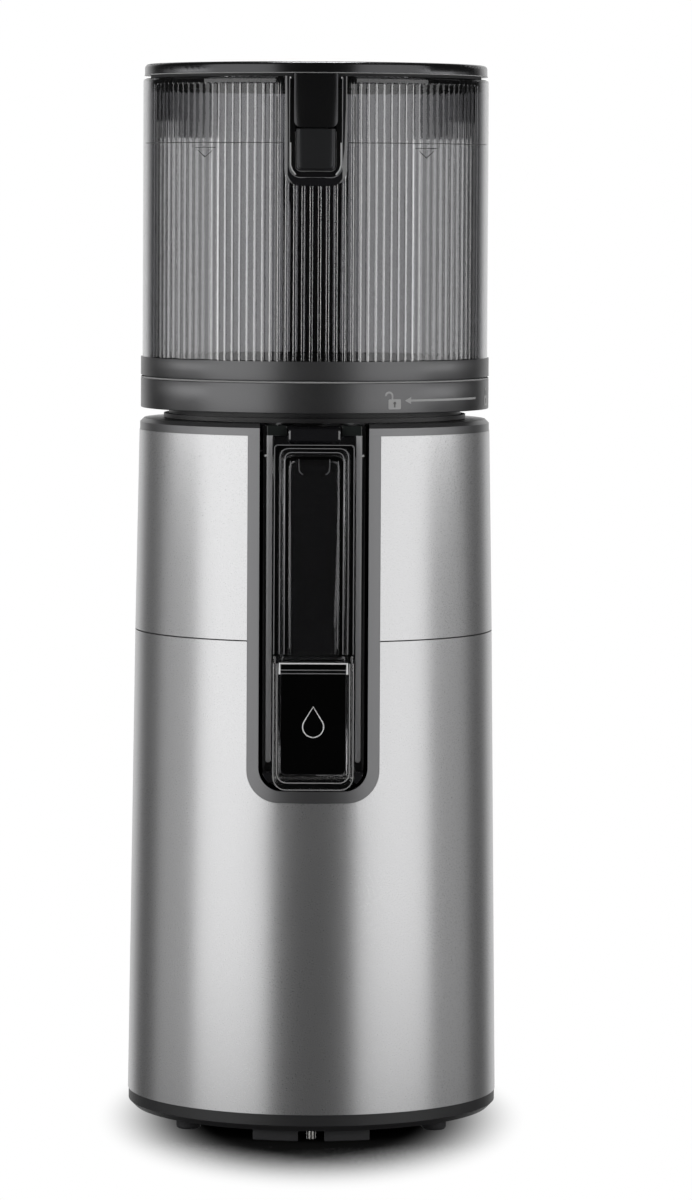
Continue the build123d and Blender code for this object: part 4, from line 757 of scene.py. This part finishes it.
def latch_painted_highlights():
    """The latch's painted highlights: light lines beside the button and light dots above them as painted
    glints of the pocket's walls, and light lines on the edges of the pocket and the recess.
    """
    face = 73.1 * MM
    # guide and stud are paths of painted glints on the pocket's walls
    guide = [(10.5 * MM, 409.0 * MM), (10.5 * MM, 400.0 * MM), (9.8 * MM, 397.8 * MM), (8.3 * MM, 395.9 * MM)]
    stud = [(10.6 * MM, 435.6 * MM), (10.6 * MM, 435.0 * MM)]
    pocket = trough(10.8 * MM, 394.8 * MM, 435.5 * MM, 4.6 * MM)
    recess = trough(8.3 * MM, 397.4 * MM, 413.5 * MM, 2.2 * MM)
    for name, line, depth, thickness in (
            ("button_painted_glints", guide, 1.2 * MM, 0.8 * MM), ("pocket_painted_glints", stud, 0.3 * MM, 0.7 * MM)):
        pair = [on_drum([(side * x, z) for x, z in line], face - depth) for side in (-1, 1)]
        bead(name, [(path, False) for path in pair], thickness, MARK_AND_HIGHLIGHT_LIGHT, "hopper")
    # light lines on the pocket's and the recess's edges: painted edge highlights
    bead("pocket_edge_painted_highlight", [(on_drum(pocket, face), False)], 0.36 * MM, EDGE_AND_HIGHLIGHT_GREY, "hopper")
    bead("recess_edge_painted_highlight", [(on_drum(recess, face - 4.0 * MM), False)], 0.4 * MM, MARK_AND_HIGHLIGHT_GREY, "hopper")


collar_signs()
fill_marks()
rim_painted_highlights()
cap_marks()
cover_marks()
rail_painted_glints()
latch_painted_highlights()


# ---------------------------------------------------------------- floor, light and camera
def studio_floor():
    """A pale floor with the shadow its lamps throw and a painted shadow round the object's foot, fading to
    white, and that reflections don't see.
    """
    bm = bmesh.new()
    bmesh.ops.create_grid(bm, x_segments=1, y_segments=1, size=30)
    mesh = bpy.data.meshes.new("studio_floor")
    bm.to_mesh(mesh)
    bm.free()
    floor = bpy.data.objects.new("studio_floor", mesh)
    bpy.context.collection.objects.link(floor)
    r = Recipe(bpy.data.materials.new("studio_floor"))
    r.nodes.clear()
    x, y = r.along("X"), r.along("Y")
    reach = (x * x + y * y) ** 0.5
    path = r.add("ShaderNodeLightPath").socket.node
    camera, through = (Value(r, path.outputs[n]) for n in ("Is Camera Ray", "Is Transmission Ray"))
    glossy, shadow = (Value(r, path.outputs[n]) for n in ("Is Glossy Ray", "Is Shadow Ray"))
    shown = (camera + through * (y / 0.1).clamped()).clamped()
    # paper: painted shade from occlusion, nearly black where the object almost touches it, and pale in the
    # open
    touching, touching_width = 0.78, 0.12
    openness = r.add("ShaderNodeAmbientOcclusion", {"samples": 8}, {"Distance": 0.22}, "AO")
    near = ((openness - touching) / touching_width).clamped()
    paper_painted_shade = r.blend(near * near, (0.01, 0.01, 0.01), (0.80, 0.80, 0.80))
    away = ((reach - 0.25) / 0.6).clamped()
    dim = r.blend(away, (0.26, 0.26, 0.26), (0.04, 0.04, 0.04))
    paper = r.add("ShaderNodeBsdfDiffuse", None, {"Color": r.blend(shown, dim, paper_painted_shade)})
    white = r.add("ShaderNodeEmission", None, {"Color": (1, 1, 1), "Strength": 1.0})
    # painted shadow: less white shows near the object, and the painted shadow ends sooner at the sides than
    # in front
    shadow_start, shadow_width, side_squeeze = 0.090, 0.095, 4.1
    painted_shadow_reach = (((x * x * side_squeeze + y * y) ** 0.5 - shadow_start) / shadow_width).clamped()
    share = (painted_shadow_reach * painted_shadow_reach * (3 - painted_shadow_reach * 2)) ** 1.5
    sheet = r.add("ShaderNodeMixShader", None, {0: shown * share, 1: paper, 2: white})
    clear = r.add("ShaderNodeBsdfTransparent", None, {"Color": (1, 1, 1)})
    mixed = r.add("ShaderNodeMixShader", None, {0: (glossy + shadow).clamped(), 1: sheet, 2: clear})
    out = r.nodes.new("ShaderNodeOutputMaterial")
    r.links.new(mixed.socket, out.inputs["Surface"])
    mesh.materials.append(r.owner)


def studio_world():
    """A dim room with a white card far behind the object. Seen directly, it is white all round."""
    world = bpy.data.worlds.new("studio")
    bpy.context.scene.world = world
    r = Recipe(world)
    r.nodes.clear()
    direction = r.add("ShaderNodeTexCoord", output="Generated")
    back = Value(r, r.add("ShaderNodeSeparateXYZ", None, {0: direction}).socket.node.outputs["Y"])
    camera = r.add("ShaderNodeLightPath", output="Is Camera Ray")
    card = ((back - 0.75) * 6).clamped()
    room = card * 0.96 + 0.03
    strength = room + (1 - room) * camera
    sky = r.add("ShaderNodeBackground", None, {"Color": (1, 1, 1), "Strength": strength})
    out = r.nodes.new("ShaderNodeOutputWorld")
    r.links.new(sky.socket, out.inputs["Surface"])


def panel(name, width, tall, radiance):
    """A flat soft lamp of a given brightness, facing down at the origin until it is placed."""
    lamp = bpy.data.lights.new(name, "AREA")
    lamp.shape, lamp.size, lamp.size_y = "RECTANGLE", width, tall
    lamp.energy = radiance * math.pi * width * tall
    light = bpy.data.objects.new(name, lamp)
    bpy.context.collection.objects.link(light)
    return light


def softbox(name, azimuth, distance, height, width, tall, radiance):
    """A soft panel that faces the axis. Azimuth 0 stands before the juice cap and 90 at +X."""
    light = panel(name, width, tall, radiance)
    a = math.radians(azimuth)
    light.location = (math.sin(a) * distance, -math.cos(a) * distance, height)
    inward = Vector((-math.sin(a), math.cos(a), 0))
    light.rotation_euler = inward.to_track_quat("-Z", "Y").to_euler()


def studio_lights():
    """Two broad boxes in front, narrow strips and low fills at the sides, and a panel above."""
    # name, azimuth in degrees, distance, height, width, tall, radiance
    for box in (
        ("left_front_box", -51, 0.72, 0.385, 0.68, 0.95, 1.75),
        ("right_front_box", 51, 0.72, 0.385, 0.68, 0.95, 1.6),
        ("left_side_strip", -88, 0.7, 0.359, 0.34, 0.118, 3.7),
        ("left_rear_strip", -110, 0.7, 0.3635, 0.20, 0.127, 0.9),
        ("right_side_strip", 88, 0.7, 0.359, 0.34, 0.118, 3.5),
        ("right_rear_strip", 110, 0.7, 0.3635, 0.20, 0.127, 0.7),
        ("left_side_fill", -96, 0.9, 0.05, 0.52, 0.40, 0.50),
        ("right_side_fill", 97, 0.9, 0.05, 0.50, 0.40, 0.42),
    ):
        softbox(*box)
    # over and behind the lid: it lights the floor and throws the object's shadow forward
    panel("overhead_box", 0.5, 0.34, 40).location = (0, 0.25, 1.7)


def studio_camera():
    """A long lens in front of the juice cap, a little above the middle and tilted down."""
    frame_px, focal_px, shift_px = 1200, 5496.7, -120
    distance, height, sensor = 2.3083, 0.3862, 36
    pitch, yaw, roll = (math.radians(a) for a in (2.927, -0.331, 0.295))
    upright = Vector((0, 0, 1))
    level = Vector((-math.sin(yaw), math.cos(yaw), 0))
    forward = level * math.cos(pitch) - upright * math.sin(pitch)
    right = level.cross(upright)
    up = right.cross(forward)
    right, up = right * math.cos(roll) + up * math.sin(roll), up * math.cos(roll) - right * math.sin(roll)
    data = bpy.data.cameras.new("studio_camera")
    data.sensor_width = sensor
    data.lens = focal_px / frame_px * sensor
    data.shift_y = shift_px / frame_px
    data.clip_start, data.clip_end = 0.1, 100
    camera = bpy.data.objects.new("studio_camera", data)
    bpy.context.collection.objects.link(camera)
    turned = Matrix((right, up, -forward)).transposed().to_4x4()
    camera.matrix_world = Matrix.Translation((0, -distance, height)) @ turned
    bpy.context.scene.camera = camera


studio_floor()
studio_world()
studio_camera()
studio_lights()
bpy.context.scene.view_settings.view_transform = "Standard"
